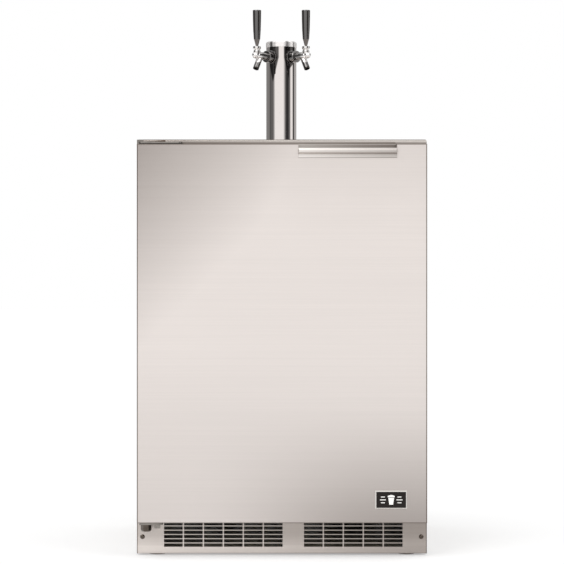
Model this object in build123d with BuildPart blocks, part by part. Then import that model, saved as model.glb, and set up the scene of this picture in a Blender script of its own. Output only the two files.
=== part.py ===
from build123d import *
import os
from math import cos, radians, sin

# Built-in draught beer dispenser: an insulated cabinet with one hinged door, a keg space,
# its refrigeration and gas supply, and a tower with two taps on top.
# Millimetres. The origin is on the floor at the centre of the footprint, +Z is up,
# +X is to the right of a person who faces the door, and the door faces -Y.

# Driving dimensions of the cabinet and the door
CABINET_HALF_WIDTH = 303.2
CABINET_DEPTH = 567.0
CABINET_TOP = 870.0
DOOR_HALF_WIDTH = 300.0
DOOR_THICKNESS = 50.0
DOOR_BOTTOM = 73.2
DOOR_TOP = 856.8
DOOR_GAP = 8.0
HANDLE_PROUD = 12.0
HANDLE_LEFT = 33.9
HANDLE_RIGHT = 237.6
HANDLE_BOTTOM = 828.3
HANDLE_LIP_TOP = 849.0
KICK_BOTTOM = 3.6
KICK_TOP = 80.0

# Sheets, walls and clearances
SHEET = 1.2
LINER = 1.0
PLATE = 2.0
RUNNING = 0.05
TOP_PANEL_HEIGHT = 10.0
ROLLED_EDGE = 4.5

# Levels and depths that follow from them
OVERALL_DEPTH = HANDLE_PROUD + DOOR_THICKNESS + DOOR_GAP + CABINET_DEPTH
LIP_FRONT = -OVERALL_DEPTH / 2
DOOR_FRONT = LIP_FRONT + HANDLE_PROUD
DOOR_REAR = DOOR_FRONT + DOOR_THICKNESS
FRONT = DOOR_REAR + DOOR_GAP
REAR = FRONT + CABINET_DEPTH
KICK_FRONT = FRONT - SHEET
SHELL_TOP = CABINET_TOP - TOP_PANEL_HEIGHT
SHELL_INSIDE = CABINET_HALF_WIDTH - SHEET
FOAM_TOP = CABINET_TOP - SHEET

# Inner space: two slim kegs side by side, or one large keg
ROOM_HALF_WIDTH = 265.0
ROOM_FLOOR = 118.0
ROOM_CEILING = 820.0
ROOM_REAR = 283.0
STEP_FRONT = 170.0
STEP_TOP = 270.0
TOWER_HOLE_RADIUS = 26.0
LINE_HOLE = (235.0, 262.0)
LINE_HOLE_RADIUS = 12.0

# Machine bay behind and below the step in the floor
PAN_LEVEL = 14.0
BAY_TOP = 240.0
BAY_FRONT = 200.0
FOAM_FLOOR = 84.0
REAR_COVER_FACE = 301.2
BAY_AXIS = 251.0

# Door hinge
HINGE_X = -282.0
HINGE_Y = DOOR_FRONT + 22.0
PIN_RADIUS = 5.0
BUSH_RADIUS = 8.0
BUSH_LENGTH = 22.0
HINGE_PLATE = 3.5
TOP_PLATE_LEVEL = 858.6
BOTTOM_PLATE_LEVEL = 69.0
TONGUE_REAR = -190.0
TONGUE_LEFT = -289.0
TONGUE_RIGHT = -246.0
HINGE_SCREW_Y = -210.0

# Tower and taps
TOWER_RADIUS = 33.2
TOWER_WALL = 1.75
TOWER_TOP = 1100.6
CAP_BOTTOM = 1088.0
CAP_RADIUS = 33.9
FLANGE_RADIUS = 51.0
FLANGE_HEIGHT = 6.0
TAP_ANGLE = 40.0
TAP_LEVEL = 1065.0
LEVER_REACH = 82.9
LEVER_PIVOT = 1079.0
NOSE_REACH = 88.5
HANDLE_TOP = 1163.4
TAPS = {"left": -1, "right": 1}

# Drip tray in the top, in front of the tower
TRAY_HALF_WIDTH = 142.0
TRAY_FRONT = -217.0
TRAY_REAR = -93.0
TRAY_BOTTOM = 846.0
TRAY_RIM = 8.0

# Levelling feet
FOOT_X = 262.0
FOOT_PLACES = {
    "front_left_foot": (-FOOT_X, -215.0),
    "front_right_foot": (FOOT_X, -215.0),
    "rear_left_foot": (-FOOT_X, 285.0),
    "rear_right_foot": (FOOT_X, 285.0),
}
FOOT_STEM = 5.0

# Gas supply
GAS_X = -190.0
GAS_Y = 214.0
GAS_RADIUS = 66.5
GAS_BODY_TOP = 632.0
REGULATOR_LEVEL = 662.0

# Keg couplers, which hang on their lines above the kegs
COUPLER_X = 122.0
COUPLER_Y = -60.0
COUPLER_BASE = 712.0
PROBE_RADIUS = 6.0
BEER_LINE_RADIUS = 4.8
GAS_LINE_RADIUS = 4.5

# Evaporator on the rear wall
EVAP_LEFT = -80.0
EVAP_RIGHT = 250.0
EVAP_FRONT = 235.0
EVAP_BOTTOM = 400.0
EVAP_TOP = 760.0
EVAP_FAN_X = 85.0
EVAP_FAN_LEVEL = 650.0

# Screws, all one size
SCREW_RADIUS = 2.0
SCREW_LENGTH = 11.0
SCREW_HEAD_RADIUS = 5.0
SCREW_HEAD_HEIGHT = 2.6
TOWER_SCREW_CIRCLE = 42.0
KICK_SCREW_X = 291.5
KICK_SCREW_LEVEL = 38.6
COVER_SCREW_X = 292.0
COVER_SCREW_LEVELS = (40.0, 220.0)

os.makedirs("parts", exist_ok=True)


def save(piece, label):
    """Name a finished piece and write it to its file."""
    piece.part.label = label
    export_step(piece.part, f"parts/{label}.step")


def span(corner, opposite, mode=Mode.ADD):
    """Add or cut the box between two opposite corners."""
    size = [abs(b - a) for a, b in zip(corner, opposite)]
    middle = [(a + b) / 2 for a, b in zip(corner, opposite)]
    with Locations(tuple(middle)):
        Box(*size, mode=mode)


def rod(radius, start, end, mode=Mode.ADD):
    """Add or cut a round bar between two points."""
    along = Vector(*end) - Vector(*start)
    with BuildSketch(Plane(origin=start, z_dir=along)) as section:
        Circle(radius)
    extrude(section.sketch, amount=along.length, mode=mode)


def lathe(axis, outline, mode=Mode.ADD):
    """Turn an outline of (distance along, radius) points about an axis."""
    across = Plane(origin=axis.position, z_dir=axis.direction).x_dir
    flat = Plane(origin=axis.position, x_dir=axis.direction, z_dir=across)
    with BuildSketch(flat) as section:
        with BuildLine():
            Polyline(*outline, close=True)
        make_face()
    revolve(section.sketch, axis=axis, mode=mode)


def hose(radius, points):
    """Sweep a round section along a smooth line through points."""
    with BuildLine() as path:
        Spline(*points)
    with BuildSketch(Plane(origin=path.line @ 0, z_dir=path.line % 0)) as section:
        Circle(radius)
    sweep(section.sketch, path=path.line)


def bent_tube(radius, bend, points):
    """Sweep a round section along straight runs joined by bends."""
    with BuildLine() as path:
        FilletPolyline(*points, radius=bend)
    with BuildSketch(Plane(origin=path.line @ 0, z_dir=path.line % 0)) as section:
        Circle(radius)
    sweep(section.sketch, path=path.line)


def upright(x, y):
    """A vertical axis through a point of the plan."""
    return Axis((x, y, 0), (0, 0, 1))


def outward(side):
    """The level direction in which a tap points."""
    return Vector(side * sin(radians(TAP_ANGLE)), -cos(radians(TAP_ANGLE)), 0)


def tap_axis(side):
    """The level axis of a tap, from the middle of the tower outward."""
    return Axis((0, 0, TAP_LEVEL), tuple(outward(side)))


def tap_point(side, reach, level):
    """A point in the upright plane of a tap."""
    way = outward(side)
    return (way.X * reach, way.Y * reach, level)


def lever_axis(side):
    """The upright axis on which a tap's bonnet, lever and handle stand."""
    x, y, _ = tap_point(side, LEVER_REACH, 0)
    return upright(x, y)


def tap_plane(side, reach=0.0):
    """The upright plane of a tap: local x points outward and local y up."""
    way = outward(side)
    return Plane(origin=tap_point(side, reach, 0), x_dir=tuple(way), z_dir=(way.Y, -way.X, 0))


# Every screw: the point under its head, and the direction in which it is driven
KICK_SCREWS = [((side * KICK_SCREW_X, KICK_FRONT, KICK_SCREW_LEVEL), (0, 1, 0)) for side in (-1, 1)]
COVER_SCREWS = [
    ((side * COVER_SCREW_X, REAR_COVER_FACE, level), (0, -1, 0))
    for side in (-1, 1)
    for level in COVER_SCREW_LEVELS
]
TOWER_SCREWS = [
    (
        (
            TOWER_SCREW_CIRCLE * cos(radians(turn)),
            TOWER_SCREW_CIRCLE * sin(radians(turn)),
            CABINET_TOP + FLANGE_HEIGHT,
        ),
        (0, 0, -1),
    )
    for turn in (45, 135, 225, 315)
]
BOTTOM_HINGE_SCREWS = [
    ((x, HINGE_SCREW_Y, BOTTOM_PLATE_LEVEL + HINGE_PLATE), (0, 0, -1)) for x in (-282.0, -261.0)
]
TOP_HINGE_SCREWS = [
    ((x, HINGE_SCREW_Y, TOP_PLATE_LEVEL + HINGE_PLATE), (0, 0, -1)) for x in (-279.0, -256.0)
]
ALL_SCREWS = KICK_SCREWS + COVER_SCREWS + TOWER_SCREWS + BOTTOM_HINGE_SCREWS + TOP_HINGE_SCREWS


def screw_holes(screws):
    """Cut the holes that a set of screws passes through."""
    for seat, way in screws:
        tip = Vector(*seat) + Vector(*way) * (SCREW_LENGTH + 1)
        above = Vector(*seat) - Vector(*way) * 0.5
        rod(SCREW_RADIUS + RUNNING, tuple(above), tuple(tip), Mode.SUBTRACT)


# ---------------------------------------------------------------- cabinet

with BuildPart() as base_frame:
    span((-SHELL_INSIDE, FRONT + PLATE, PAN_LEVEL), (SHELL_INSIDE, REAR, PAN_LEVEL + PLATE))
    for side in (-1, 1):
        edge = side * SHELL_INSIDE
        inner = side * (SHELL_INSIDE - PLATE)
        span((edge, FRONT + PLATE, PAN_LEVEL), (inner, REAR, FOAM_FLOOR))
        span((edge, FRONT, PAN_LEVEL), (side * 283.0, FRONT + PLATE, 60.0))
        span((edge, 298.0, PAN_LEVEL), (side * 284.0, 300.0, BAY_TOP - 2))
    span((-SHELL_INSIDE, FRONT + PLATE, 66.0), (-250.0, TONGUE_REAR, BOTTOM_PLATE_LEVEL))
    for x, y in FOOT_PLACES.values():
        rod(9.0, (x, y, PAN_LEVEL), (x, y, 32.0))
        rod(FOOT_STEM + RUNNING, (x, y, 0), (x, y, 62.0), Mode.SUBTRACT)
    screw_holes(KICK_SCREWS + COVER_SCREWS + BOTTOM_HINGE_SCREWS)
save(base_frame, "base_frame")

with BuildPart() as cabinet_shell:
    span((-CABINET_HALF_WIDTH, FRONT, PAN_LEVEL), (CABINET_HALF_WIDTH, REAR, SHELL_TOP))
    span((-SHELL_INSIDE, FRONT + SHEET, 0), (SHELL_INSIDE, REAR - SHEET, 900), Mode.SUBTRACT)
    room_edge = ROOM_HALF_WIDTH + LINER
    span(
        (-room_edge, FRONT - 1, ROOM_FLOOR - LINER),
        (room_edge, FRONT + 2, ROOM_CEILING + LINER),
        Mode.SUBTRACT,
    )
    span((-SHELL_INSIDE, FRONT - 1, 0), (SHELL_INSIDE, FRONT + 2, FOAM_FLOOR), Mode.SUBTRACT)
    span((-SHELL_INSIDE, REAR - 2, 0), (SHELL_INSIDE, REAR + 1, BAY_TOP), Mode.SUBTRACT)
    span(
        (TONGUE_LEFT - 1, FRONT - 1, TOP_PLATE_LEVEL - 1),
        (TONGUE_RIGHT + 1, FRONT + 2, SHELL_TOP + 1),
        Mode.SUBTRACT,
    )
save(cabinet_shell, "cabinet_shell")

with BuildPart() as top_panel:
    span((-CABINET_HALF_WIDTH, FRONT, SHELL_TOP), (CABINET_HALF_WIDTH, REAR, CABINET_TOP))
    fillet(top_panel.faces().sort_by(Axis.Z)[-1].edges(), ROLLED_EDGE)
    with BuildPart(mode=Mode.PRIVATE) as hollow:
        span((-SHELL_INSIDE, FRONT + SHEET, SHELL_TOP - 1), (SHELL_INSIDE, REAR - SHEET, FOAM_TOP))
        fillet(hollow.faces().sort_by(Axis.Z)[-1].edges(), ROLLED_EDGE - SHEET)
    add(hollow.part, mode=Mode.SUBTRACT)
    span(
        (-TRAY_HALF_WIDTH - 0.5, TRAY_FRONT - 0.5, SHELL_TOP),
        (TRAY_HALF_WIDTH + 0.5, TRAY_REAR + 0.5, CABINET_TOP + 1),
        Mode.SUBTRACT,
    )
    rod(TOWER_HOLE_RADIUS, (0, 0, SHELL_TOP), (0, 0, CABINET_TOP + 1), Mode.SUBTRACT)
    span((TONGUE_LEFT, FRONT - 1, SHELL_TOP - 1), (TONGUE_RIGHT, FRONT + 2, 865.5), Mode.SUBTRACT)
    screw_holes(TOWER_SCREWS)
save(top_panel, "top_panel")

with BuildPart() as cabinet_insulation:
    span((-SHELL_INSIDE, FRONT + SHEET, FOAM_FLOOR), (SHELL_INSIDE, REAR - SHEET, FOAM_TOP))
    chamfer(cabinet_insulation.faces().sort_by(Axis.Z)[-1].edges(), ROLLED_EDGE - SHEET + 0.2)
    wall = ROOM_HALF_WIDTH + LINER
    span((-wall, FRONT, STEP_TOP - LINER), (wall, ROOM_REAR + LINER, ROOM_CEILING + LINER), Mode.SUBTRACT)
    span((-wall, FRONT, ROOM_FLOOR - LINER), (wall, STEP_FRONT + LINER, STEP_TOP), Mode.SUBTRACT)
    span((-SHELL_INSIDE, BAY_FRONT, 0), (SHELL_INSIDE, REAR, BAY_TOP), Mode.SUBTRACT)
    span(
        (-TRAY_HALF_WIDTH - 0.5, TRAY_FRONT - 0.5, TRAY_BOTTOM - 0.5),
        (TRAY_HALF_WIDTH + 0.5, TRAY_REAR + 0.5, CABINET_TOP),
        Mode.SUBTRACT,
    )
    span(
        (TONGUE_LEFT - 1, FRONT, TOP_PLATE_LEVEL - 1),
        (TONGUE_RIGHT + 1, TONGUE_REAR + 1, CABINET_TOP),
        Mode.SUBTRACT,
    )
    rod(TOWER_HOLE_RADIUS, (0, 0, ROOM_CEILING), (0, 0, CABINET_TOP), Mode.SUBTRACT)
    rod(LINE_HOLE_RADIUS, (*LINE_HOLE, BAY_TOP - 1), (*LINE_HOLE, STEP_TOP), Mode.SUBTRACT)
    screw_holes(TOWER_SCREWS + TOP_HINGE_SCREWS)
save(cabinet_insulation, "cabinet_insulation")

with BuildPart() as inner_liner:
    wall = ROOM_HALF_WIDTH + LINER
    span((-wall, FRONT, STEP_TOP - LINER), (wall, ROOM_REAR + LINER, ROOM_CEILING + LINER))
    span((-wall, FRONT, ROOM_FLOOR - LINER), (wall, STEP_FRONT + LINER, STEP_TOP))
    room = ROOM_HALF_WIDTH
    span((-room, FRONT - 1, STEP_TOP), (room, ROOM_REAR, ROOM_CEILING), Mode.SUBTRACT)
    span((-room, FRONT - 1, ROOM_FLOOR), (room, STEP_FRONT, STEP_TOP + 1), Mode.SUBTRACT)
    rod(TOWER_HOLE_RADIUS, (0, 0, ROOM_CEILING - 1), (0, 0, ROOM_CEILING + 2), Mode.SUBTRACT)
    rod(LINE_HOLE_RADIUS, (*LINE_HOLE, STEP_TOP - 2), (*LINE_HOLE, STEP_TOP + 1), Mode.SUBTRACT)
save(inner_liner, "inner_liner")

SLOT_WIDTH = 39.1
SLOT_HEIGHT = 7.1
SLOT_PITCH_X = 41.8
SLOT_PITCH_Z = 8.9
SLOT_ROWS = 6
SLOT_FIRST_LEVEL = 21.1
SLOT_GROUPS = [(-246.5, 6), (46.3, 5)]

with BuildPart() as kick_plate:
    span((-CABINET_HALF_WIDTH, KICK_FRONT, KICK_BOTTOM), (CABINET_HALF_WIDTH, FRONT, KICK_TOP))
    span(
        (-CABINET_HALF_WIDTH, KICK_FRONT, KICK_BOTTOM),
        (CABINET_HALF_WIDTH, FRONT + 12, KICK_BOTTOM + SHEET),
    )
    for group_left, columns in SLOT_GROUPS:
        group_centre = group_left + (columns * SLOT_PITCH_X - (SLOT_PITCH_X - SLOT_WIDTH)) / 2
        rows_centre = SLOT_FIRST_LEVEL + SLOT_PITCH_Z * (SLOT_ROWS - 1) / 2
        with BuildSketch(Plane.XZ.offset(-FRONT)):
            with Locations((group_centre, rows_centre)):
                with GridLocations(SLOT_PITCH_X, SLOT_PITCH_Z, columns, SLOT_ROWS):
                    Rectangle(SLOT_WIDTH, SLOT_HEIGHT)
        extrude(amount=6, both=True, mode=Mode.SUBTRACT)
    span((-291.0, KICK_FRONT - 1, 68.5), (-252.0, FRONT + 1, KICK_TOP + 1), Mode.SUBTRACT)
    screw_holes(KICK_SCREWS)
save(kick_plate, "kick_plate")

with BuildPart() as cabinet_screws:
    for seat, way in ALL_SCREWS:
        tip = Vector(*seat) + Vector(*way) * SCREW_LENGTH
        crown = Vector(*seat) - Vector(*way) * SCREW_HEAD_HEIGHT
        rod(SCREW_RADIUS, seat, tuple(tip))
        lathe(
            Axis(tuple(crown), way),
            [
                (0, 0),
                (0, SCREW_HEAD_RADIUS * 0.55),
                (SCREW_HEAD_HEIGHT * 0.45, SCREW_HEAD_RADIUS * 0.9),
                (SCREW_HEAD_HEIGHT, SCREW_HEAD_RADIUS),
                (SCREW_HEAD_HEIGHT, 0),
            ],
        )
        socket = Vector(*seat) - Vector(*way) * (SCREW_HEAD_HEIGHT * 0.4)
        rod(1.7, tuple(socket), tuple(crown - Vector(*way)), Mode.SUBTRACT)
save(cabinet_screws, "cabinet_screws")

# ------------------------------------------------------------------ hinge

with BuildPart() as top_hinge_bracket:
    roof = TOP_PLATE_LEVEL + HINGE_PLATE
    span((-297.0, DOOR_FRONT + 5, TOP_PLATE_LEVEL), (-207.0, FRONT - 1, roof))
    fillet(top_hinge_bracket.edges().filter_by(Axis.Z).group_by(Axis.Y)[0], 8)
    span((TONGUE_LEFT, FRONT - 1, TOP_PLATE_LEVEL), (TONGUE_RIGHT, TONGUE_REAR, roof))
    span((-303.0, FRONT - 6, TOP_PLATE_LEVEL), (-289.5, FRONT, CABINET_TOP - 1))
    rod(PIN_RADIUS, (HINGE_X, HINGE_Y, 850), (HINGE_X, HINGE_Y, 870), Mode.SUBTRACT)
    screw_holes(TOP_HINGE_SCREWS)
save(top_hinge_bracket, "top_hinge_bracket")

with BuildPart() as bottom_hinge_bracket:
    roof = BOTTOM_PLATE_LEVEL + HINGE_PLATE
    span((-296.0, DOOR_FRONT + 5, BOTTOM_PLATE_LEVEL), (-247.0, KICK_FRONT, roof))
    fillet(bottom_hinge_bracket.edges().filter_by(Axis.Z).group_by(Axis.Y)[0], 8)
    span((-290.0, KICK_FRONT, BOTTOM_PLATE_LEVEL), (-253.0, TONGUE_REAR, roof))
    span((-266.0, KICK_FRONT - 9, 57.0), (-255.0, KICK_FRONT - 1, BOTTOM_PLATE_LEVEL))
    rod(PIN_RADIUS, (HINGE_X, HINGE_Y, 50), (HINGE_X, HINGE_Y, 90), Mode.SUBTRACT)
    screw_holes(BOTTOM_HINGE_SCREWS)
save(bottom_hinge_bracket, "bottom_hinge_bracket")

PIN_HEAD_BOTTOM = 54.0
PIN_HEAD_ACROSS = 19.0

with BuildPart() as hinge_pins:
    rod(PIN_RADIUS, (HINGE_X, HINGE_Y, DOOR_TOP - 20), (HINGE_X, HINGE_Y, TOP_PLATE_LEVEL + HINGE_PLATE))
    rod(PIN_RADIUS, (HINGE_X, HINGE_Y, BOTTOM_PLATE_LEVEL), (HINGE_X, HINGE_Y, DOOR_BOTTOM + 20))
    with BuildSketch(Plane(origin=(HINGE_X, HINGE_Y, PIN_HEAD_BOTTOM + 3))):
        RegularPolygon(PIN_HEAD_ACROSS / 2, 6, major_radius=False)
    extrude(amount=BOTTOM_PLATE_LEVEL - PIN_HEAD_BOTTOM - 3)
    with BuildSketch(Plane(origin=(HINGE_X, HINGE_Y, PIN_HEAD_BOTTOM + 3))):
        RegularPolygon(PIN_HEAD_ACROSS / 2, 6, major_radius=False)
    extrude(amount=-3, taper=32)
save(hinge_pins, "hinge_pins")

# ------------------------------------------------------------------- door

POCKET_FLOOR = 833.0
POCKET_REAR = DOOR_FRONT + 19.0
HANDLE_SHEET = 1.5
LIP_RADIUS = 5.8

with BuildPart() as door_handle:
    lip_centre_y = LIP_FRONT + LIP_RADIUS
    lip_centre_z = HANDLE_LIP_TOP - LIP_RADIUS
    back = POCKET_REAR + HANDLE_SHEET
    with BuildSketch(Plane.YZ.offset(HANDLE_LEFT)) as lip_section:
        with BuildLine():
            flush = (DOOR_FRONT, HANDLE_BOTTOM)
            under_lip = (lip_centre_y, lip_centre_z - LIP_RADIUS)
            Bezier(flush, (DOOR_FRONT, HANDLE_BOTTOM + 7), (lip_centre_y + 4, under_lip[1]), under_lip)
            ThreePointArc(under_lip, (LIP_FRONT, lip_centre_z), (lip_centre_y, HANDLE_LIP_TOP))
            ThreePointArc(
                (lip_centre_y, HANDLE_LIP_TOP),
                (lip_centre_y + LIP_RADIUS * sin(radians(45)), lip_centre_z + LIP_RADIUS * cos(radians(45))),
                (lip_centre_y + LIP_RADIUS, lip_centre_z),
            )
            Polyline(
                (lip_centre_y + LIP_RADIUS, lip_centre_z),
                (DOOR_FRONT + 4, POCKET_FLOOR + 4),
                (DOOR_FRONT + 8, POCKET_FLOOR),
                (POCKET_REAR - 4, POCKET_FLOOR),
                (POCKET_REAR, POCKET_FLOOR + 4),
                (POCKET_REAR, DOOR_TOP),
                (back, DOOR_TOP),
                (back, HANDLE_BOTTOM),
                flush,
            )
        make_face()
    extrude(amount=HANDLE_RIGHT - HANDLE_LEFT)
    for end_x, way in ((HANDLE_LEFT, 1), (HANDLE_RIGHT, -1)):
        span((end_x, DOOR_FRONT, HANDLE_BOTTOM), (end_x + way * HANDLE_SHEET, back, DOOR_TOP))
save(door_handle, "door_handle")

SKIN = 1.0
LINER_FRONT = DOOR_REAR - 1.5
PLUG_REAR = FRONT + 8.5
PLUG_HALF_WIDTH = 250.0
PLUG_BOTTOM = 135.0
PLUG_TOP = 803.0


def door_pin_holes(radius):
    """Cut both hinge pin holes, as deep as the bushes."""
    for level, way in ((DOOR_TOP, -1), (DOOR_BOTTOM, 1)):
        rod(
            radius,
            (HINGE_X, HINGE_Y, level - way),
            (HINGE_X, HINGE_Y, level + way * BUSH_LENGTH),
            Mode.SUBTRACT,
        )


def handle_opening():
    """Cut the space that the handle fills."""
    span(
        (HANDLE_LEFT - 0.3, LIP_FRONT, HANDLE_BOTTOM - 0.3),
        (HANDLE_RIGHT + 0.3, POCKET_REAR + HANDLE_SHEET, DOOR_TOP + 1),
        Mode.SUBTRACT,
    )


with BuildPart() as door_skin:
    span((-DOOR_HALF_WIDTH, DOOR_FRONT, DOOR_BOTTOM), (DOOR_HALF_WIDTH, DOOR_REAR, DOOR_TOP))
    fillet(door_skin.faces().sort_by(Axis.Y)[0].edges(), 0.8)
    inside = DOOR_HALF_WIDTH - SKIN
    span(
        (-inside, DOOR_FRONT + SKIN, DOOR_BOTTOM + SKIN),
        (inside, DOOR_REAR + 1, DOOR_TOP - SKIN),
        Mode.SUBTRACT,
    )
    handle_opening()
    door_pin_holes(BUSH_RADIUS)
save(door_skin, "door_skin")

with BuildPart() as door_insulation:
    inside = DOOR_HALF_WIDTH - SKIN
    span((-inside, DOOR_FRONT + SKIN, DOOR_BOTTOM + SKIN), (inside, LINER_FRONT, DOOR_TOP - SKIN))
    handle_opening()
    door_pin_holes(BUSH_RADIUS)
save(door_insulation, "door_insulation")

with BuildPart() as door_liner:
    inside = DOOR_HALF_WIDTH - SKIN
    span((-inside, LINER_FRONT, DOOR_BOTTOM + SKIN), (inside, DOOR_REAR, DOOR_TOP - SKIN))
    with BuildPart(mode=Mode.PRIVATE) as plug:
        span((-PLUG_HALF_WIDTH, DOOR_REAR, PLUG_BOTTOM), (PLUG_HALF_WIDTH, PLUG_REAR, PLUG_TOP))
        fillet(plug.edges().filter_by(Axis.Y), 20)
        fillet(plug.faces().sort_by(Axis.Y)[-1].edges(), 8)
    add(plug.part)
save(door_liner, "door_liner")

with BuildPart() as hinge_bushes:
    for level, way in ((DOOR_TOP, -1), (DOOR_BOTTOM, 1)):
        rod(BUSH_RADIUS, (HINGE_X, HINGE_Y, level), (HINGE_X, HINGE_Y, level + way * BUSH_LENGTH))
        rod(
            PIN_RADIUS + RUNNING,
            (HINGE_X, HINGE_Y, level - way),
            (HINGE_X, HINGE_Y, level + way * (BUSH_LENGTH - 1)),
            Mode.SUBTRACT,
        )
save(hinge_bushes, "hinge_bushes")

GASKET_HALF_WIDTH = 281.0
GASKET_WIDTH = 14.0
GASKET_BOTTOM = 98.0
GASKET_TOP = 840.0

with BuildPart() as door_gasket:
    rear = FRONT - 0.3
    span((-GASKET_HALF_WIDTH, DOOR_REAR, GASKET_BOTTOM), (GASKET_HALF_WIDTH, rear, GASKET_TOP))
    span(
        (-GASKET_HALF_WIDTH + GASKET_WIDTH, DOOR_REAR - 1, GASKET_BOTTOM + GASKET_WIDTH),
        (GASKET_HALF_WIDTH - GASKET_WIDTH, FRONT, GASKET_TOP - GASKET_WIDTH),
        Mode.SUBTRACT,
    )
    fillet(door_gasket.faces().sort_by(Axis.Y)[-1].edges(), 2.5)
save(door_gasket, "door_gasket")

BADGE_CENTRE = (225.5, 121.5)
BADGE_PLATE = (61.8, 33.4)
BADGE_FRAME = 2.4
BADGE_PROUD = 2.5
BADGE_PLATE_DEPTH = 0.8

with BuildPart() as badge:
    with BuildSketch(Plane.XZ.offset(-DOOR_FRONT)):
        with Locations(BADGE_CENTRE):
            Rectangle(*(size + 2 * BADGE_FRAME for size in BADGE_PLATE))
    extrude(amount=BADGE_PROUD)
    chamfer(badge.faces().sort_by(Axis.Y)[0].edges(), 1.4)
    with BuildSketch(Plane.XZ.offset(-DOOR_FRONT + BADGE_PROUD)):
        with Locations(BADGE_CENTRE):
            Rectangle(*BADGE_PLATE)
    extrude(amount=-BADGE_PLATE_DEPTH, mode=Mode.SUBTRACT)
save(badge, "badge")

# ------------------------------------------------------------------- feet

for foot_name, (foot_x, foot_y) in FOOT_PLACES.items():
    with BuildPart() as foot:
        lathe(
            upright(foot_x, foot_y),
            [(0, 0), (0, 18), (4, 18), (7, 13), (7, FOOT_STEM), (60, FOOT_STEM), (60, 0)],
        )
        with BuildSketch(Plane(origin=(foot_x, foot_y, 6.5))):
            RegularPolygon(8.5, 6, major_radius=False)
        extrude(amount=6)
    save(foot, foot_name)

# --------------------------------------------------------- cooling machine

COMPRESSOR_X = 150.0
COMPRESSOR_RADIUS = 46.0
MOUNT_HEIGHT = 12.0
MOUNT_OFFSETS = [(-58, -38), (-58, 38), (58, -38), (58, 38)]
BASE_LEVEL = PAN_LEVEL + PLATE + MOUNT_HEIGHT

with BuildPart() as compressor:
    span(
        (COMPRESSOR_X - 68, BAY_AXIS - 46, BASE_LEVEL),
        (COMPRESSOR_X + 68, BAY_AXIS + 46, BASE_LEVEL + 3),
    )
    rod(COMPRESSOR_RADIUS, (COMPRESSOR_X, BAY_AXIS, BASE_LEVEL), (COMPRESSOR_X, BAY_AXIS, 172))
    fillet(compressor.faces().sort_by(Axis.Z)[-1].edges(), 26)
    rod(COMPRESSOR_RADIUS + 3, (COMPRESSOR_X, BAY_AXIS, 102), (COMPRESSOR_X, BAY_AXIS, 106))
    span((COMPRESSOR_X + 40, BAY_AXIS - 22, 60), (COMPRESSOR_X + 66, BAY_AXIS + 22, 118))
save(compressor, "compressor")

with BuildPart() as compressor_mounts:
    for dx, dy in MOUNT_OFFSETS:
        lathe(
            upright(COMPRESSOR_X + dx, BAY_AXIS + dy),
            [
                (PAN_LEVEL + PLATE, 0),
                (PAN_LEVEL + PLATE, 8),
                (PAN_LEVEL + PLATE + 5, 8),
                (PAN_LEVEL + PLATE + 6, 6),
                (BASE_LEVEL - 5, 6),
                (BASE_LEVEL - 4, 8),
                (BASE_LEVEL, 8),
                (BASE_LEVEL, 0),
            ],
        )
save(compressor_mounts, "compressor_mounts")


def finned_coil(tube_columns, first_level, row_step, rows, fin_low, fin_high, fin_count, near, far):
    """A serpentine tube in each column, from near to far, with thin fins square to it."""
    for x in tube_columns:
        runs = []
        for row in range(rows):
            level = first_level + row * row_step
            ends = (near, far) if row % 2 == 0 else (far, near)
            runs.extend((x, y, level) for y in ends)
        bent_tube(4.0, row_step / 2 - 0.1, runs)
    step = (fin_high[1] - fin_low[1]) / (fin_count - 1)
    for fin in range(fin_count):
        y = fin_low[1] + fin * step
        span((fin_low[0], y - 0.3, fin_low[2]), (fin_high[0], y + 0.3, fin_high[2]))


CONDENSER_COLUMNS = (-186.0, -156.0)

with BuildPart() as condenser_coil:
    finned_coil(
        CONDENSER_COLUMNS,
        first_level=44.0,
        row_step=22.0,
        rows=4,
        fin_low=(-200.0, 220.0, 28.0),
        fin_high=(-142.0, 280.0, 128.0),
        fin_count=13,
        near=206.0,
        far=294.0,
    )
    for x in (-200.0, -142.0):
        span((x - 1, 219.0, PAN_LEVEL + PLATE), (x + 1, 281.0, 130.0))
save(condenser_coil, "condenser_coil")

FAN_LEVEL = 66.0
FAN_HALF = 46.0
FAN_LEFT = -134.0
FAN_RIGHT = -109.0

with BuildPart() as condenser_fan_frame:
    span(
        (FAN_LEFT, BAY_AXIS - FAN_HALF, FAN_LEVEL - FAN_HALF),
        (FAN_RIGHT, BAY_AXIS + FAN_HALF, FAN_LEVEL + FAN_HALF),
    )
    rod(
        FAN_HALF - 3,
        (FAN_LEFT - 1, BAY_AXIS, FAN_LEVEL),
        (FAN_RIGHT + 1, BAY_AXIS, FAN_LEVEL),
        Mode.SUBTRACT,
    )
    for spoke in (45, 135, 225, 315):
        reach = FAN_HALF - 1
        rod(
            1.5,
            (FAN_RIGHT - 3, BAY_AXIS, FAN_LEVEL),
            (FAN_RIGHT - 3, BAY_AXIS + reach * cos(radians(spoke)), FAN_LEVEL + reach * sin(radians(spoke))),
        )
    rod(14, (FAN_RIGHT - 5, BAY_AXIS, FAN_LEVEL), (FAN_RIGHT, BAY_AXIS, FAN_LEVEL))
    rod(2.5, (FAN_LEFT + 4, BAY_AXIS, FAN_LEVEL), (FAN_RIGHT - 4, BAY_AXIS, FAN_LEVEL))
    for foot_at in (-34, 34):
        span(
            (FAN_LEFT + 4, BAY_AXIS + foot_at - 6, PAN_LEVEL + PLATE),
            (FAN_RIGHT - 4, BAY_AXIS + foot_at + 6, FAN_LEVEL - FAN_HALF),
        )
save(condenser_fan_frame, "condenser_fan_frame")

BLADE_COUNT = 7


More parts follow.
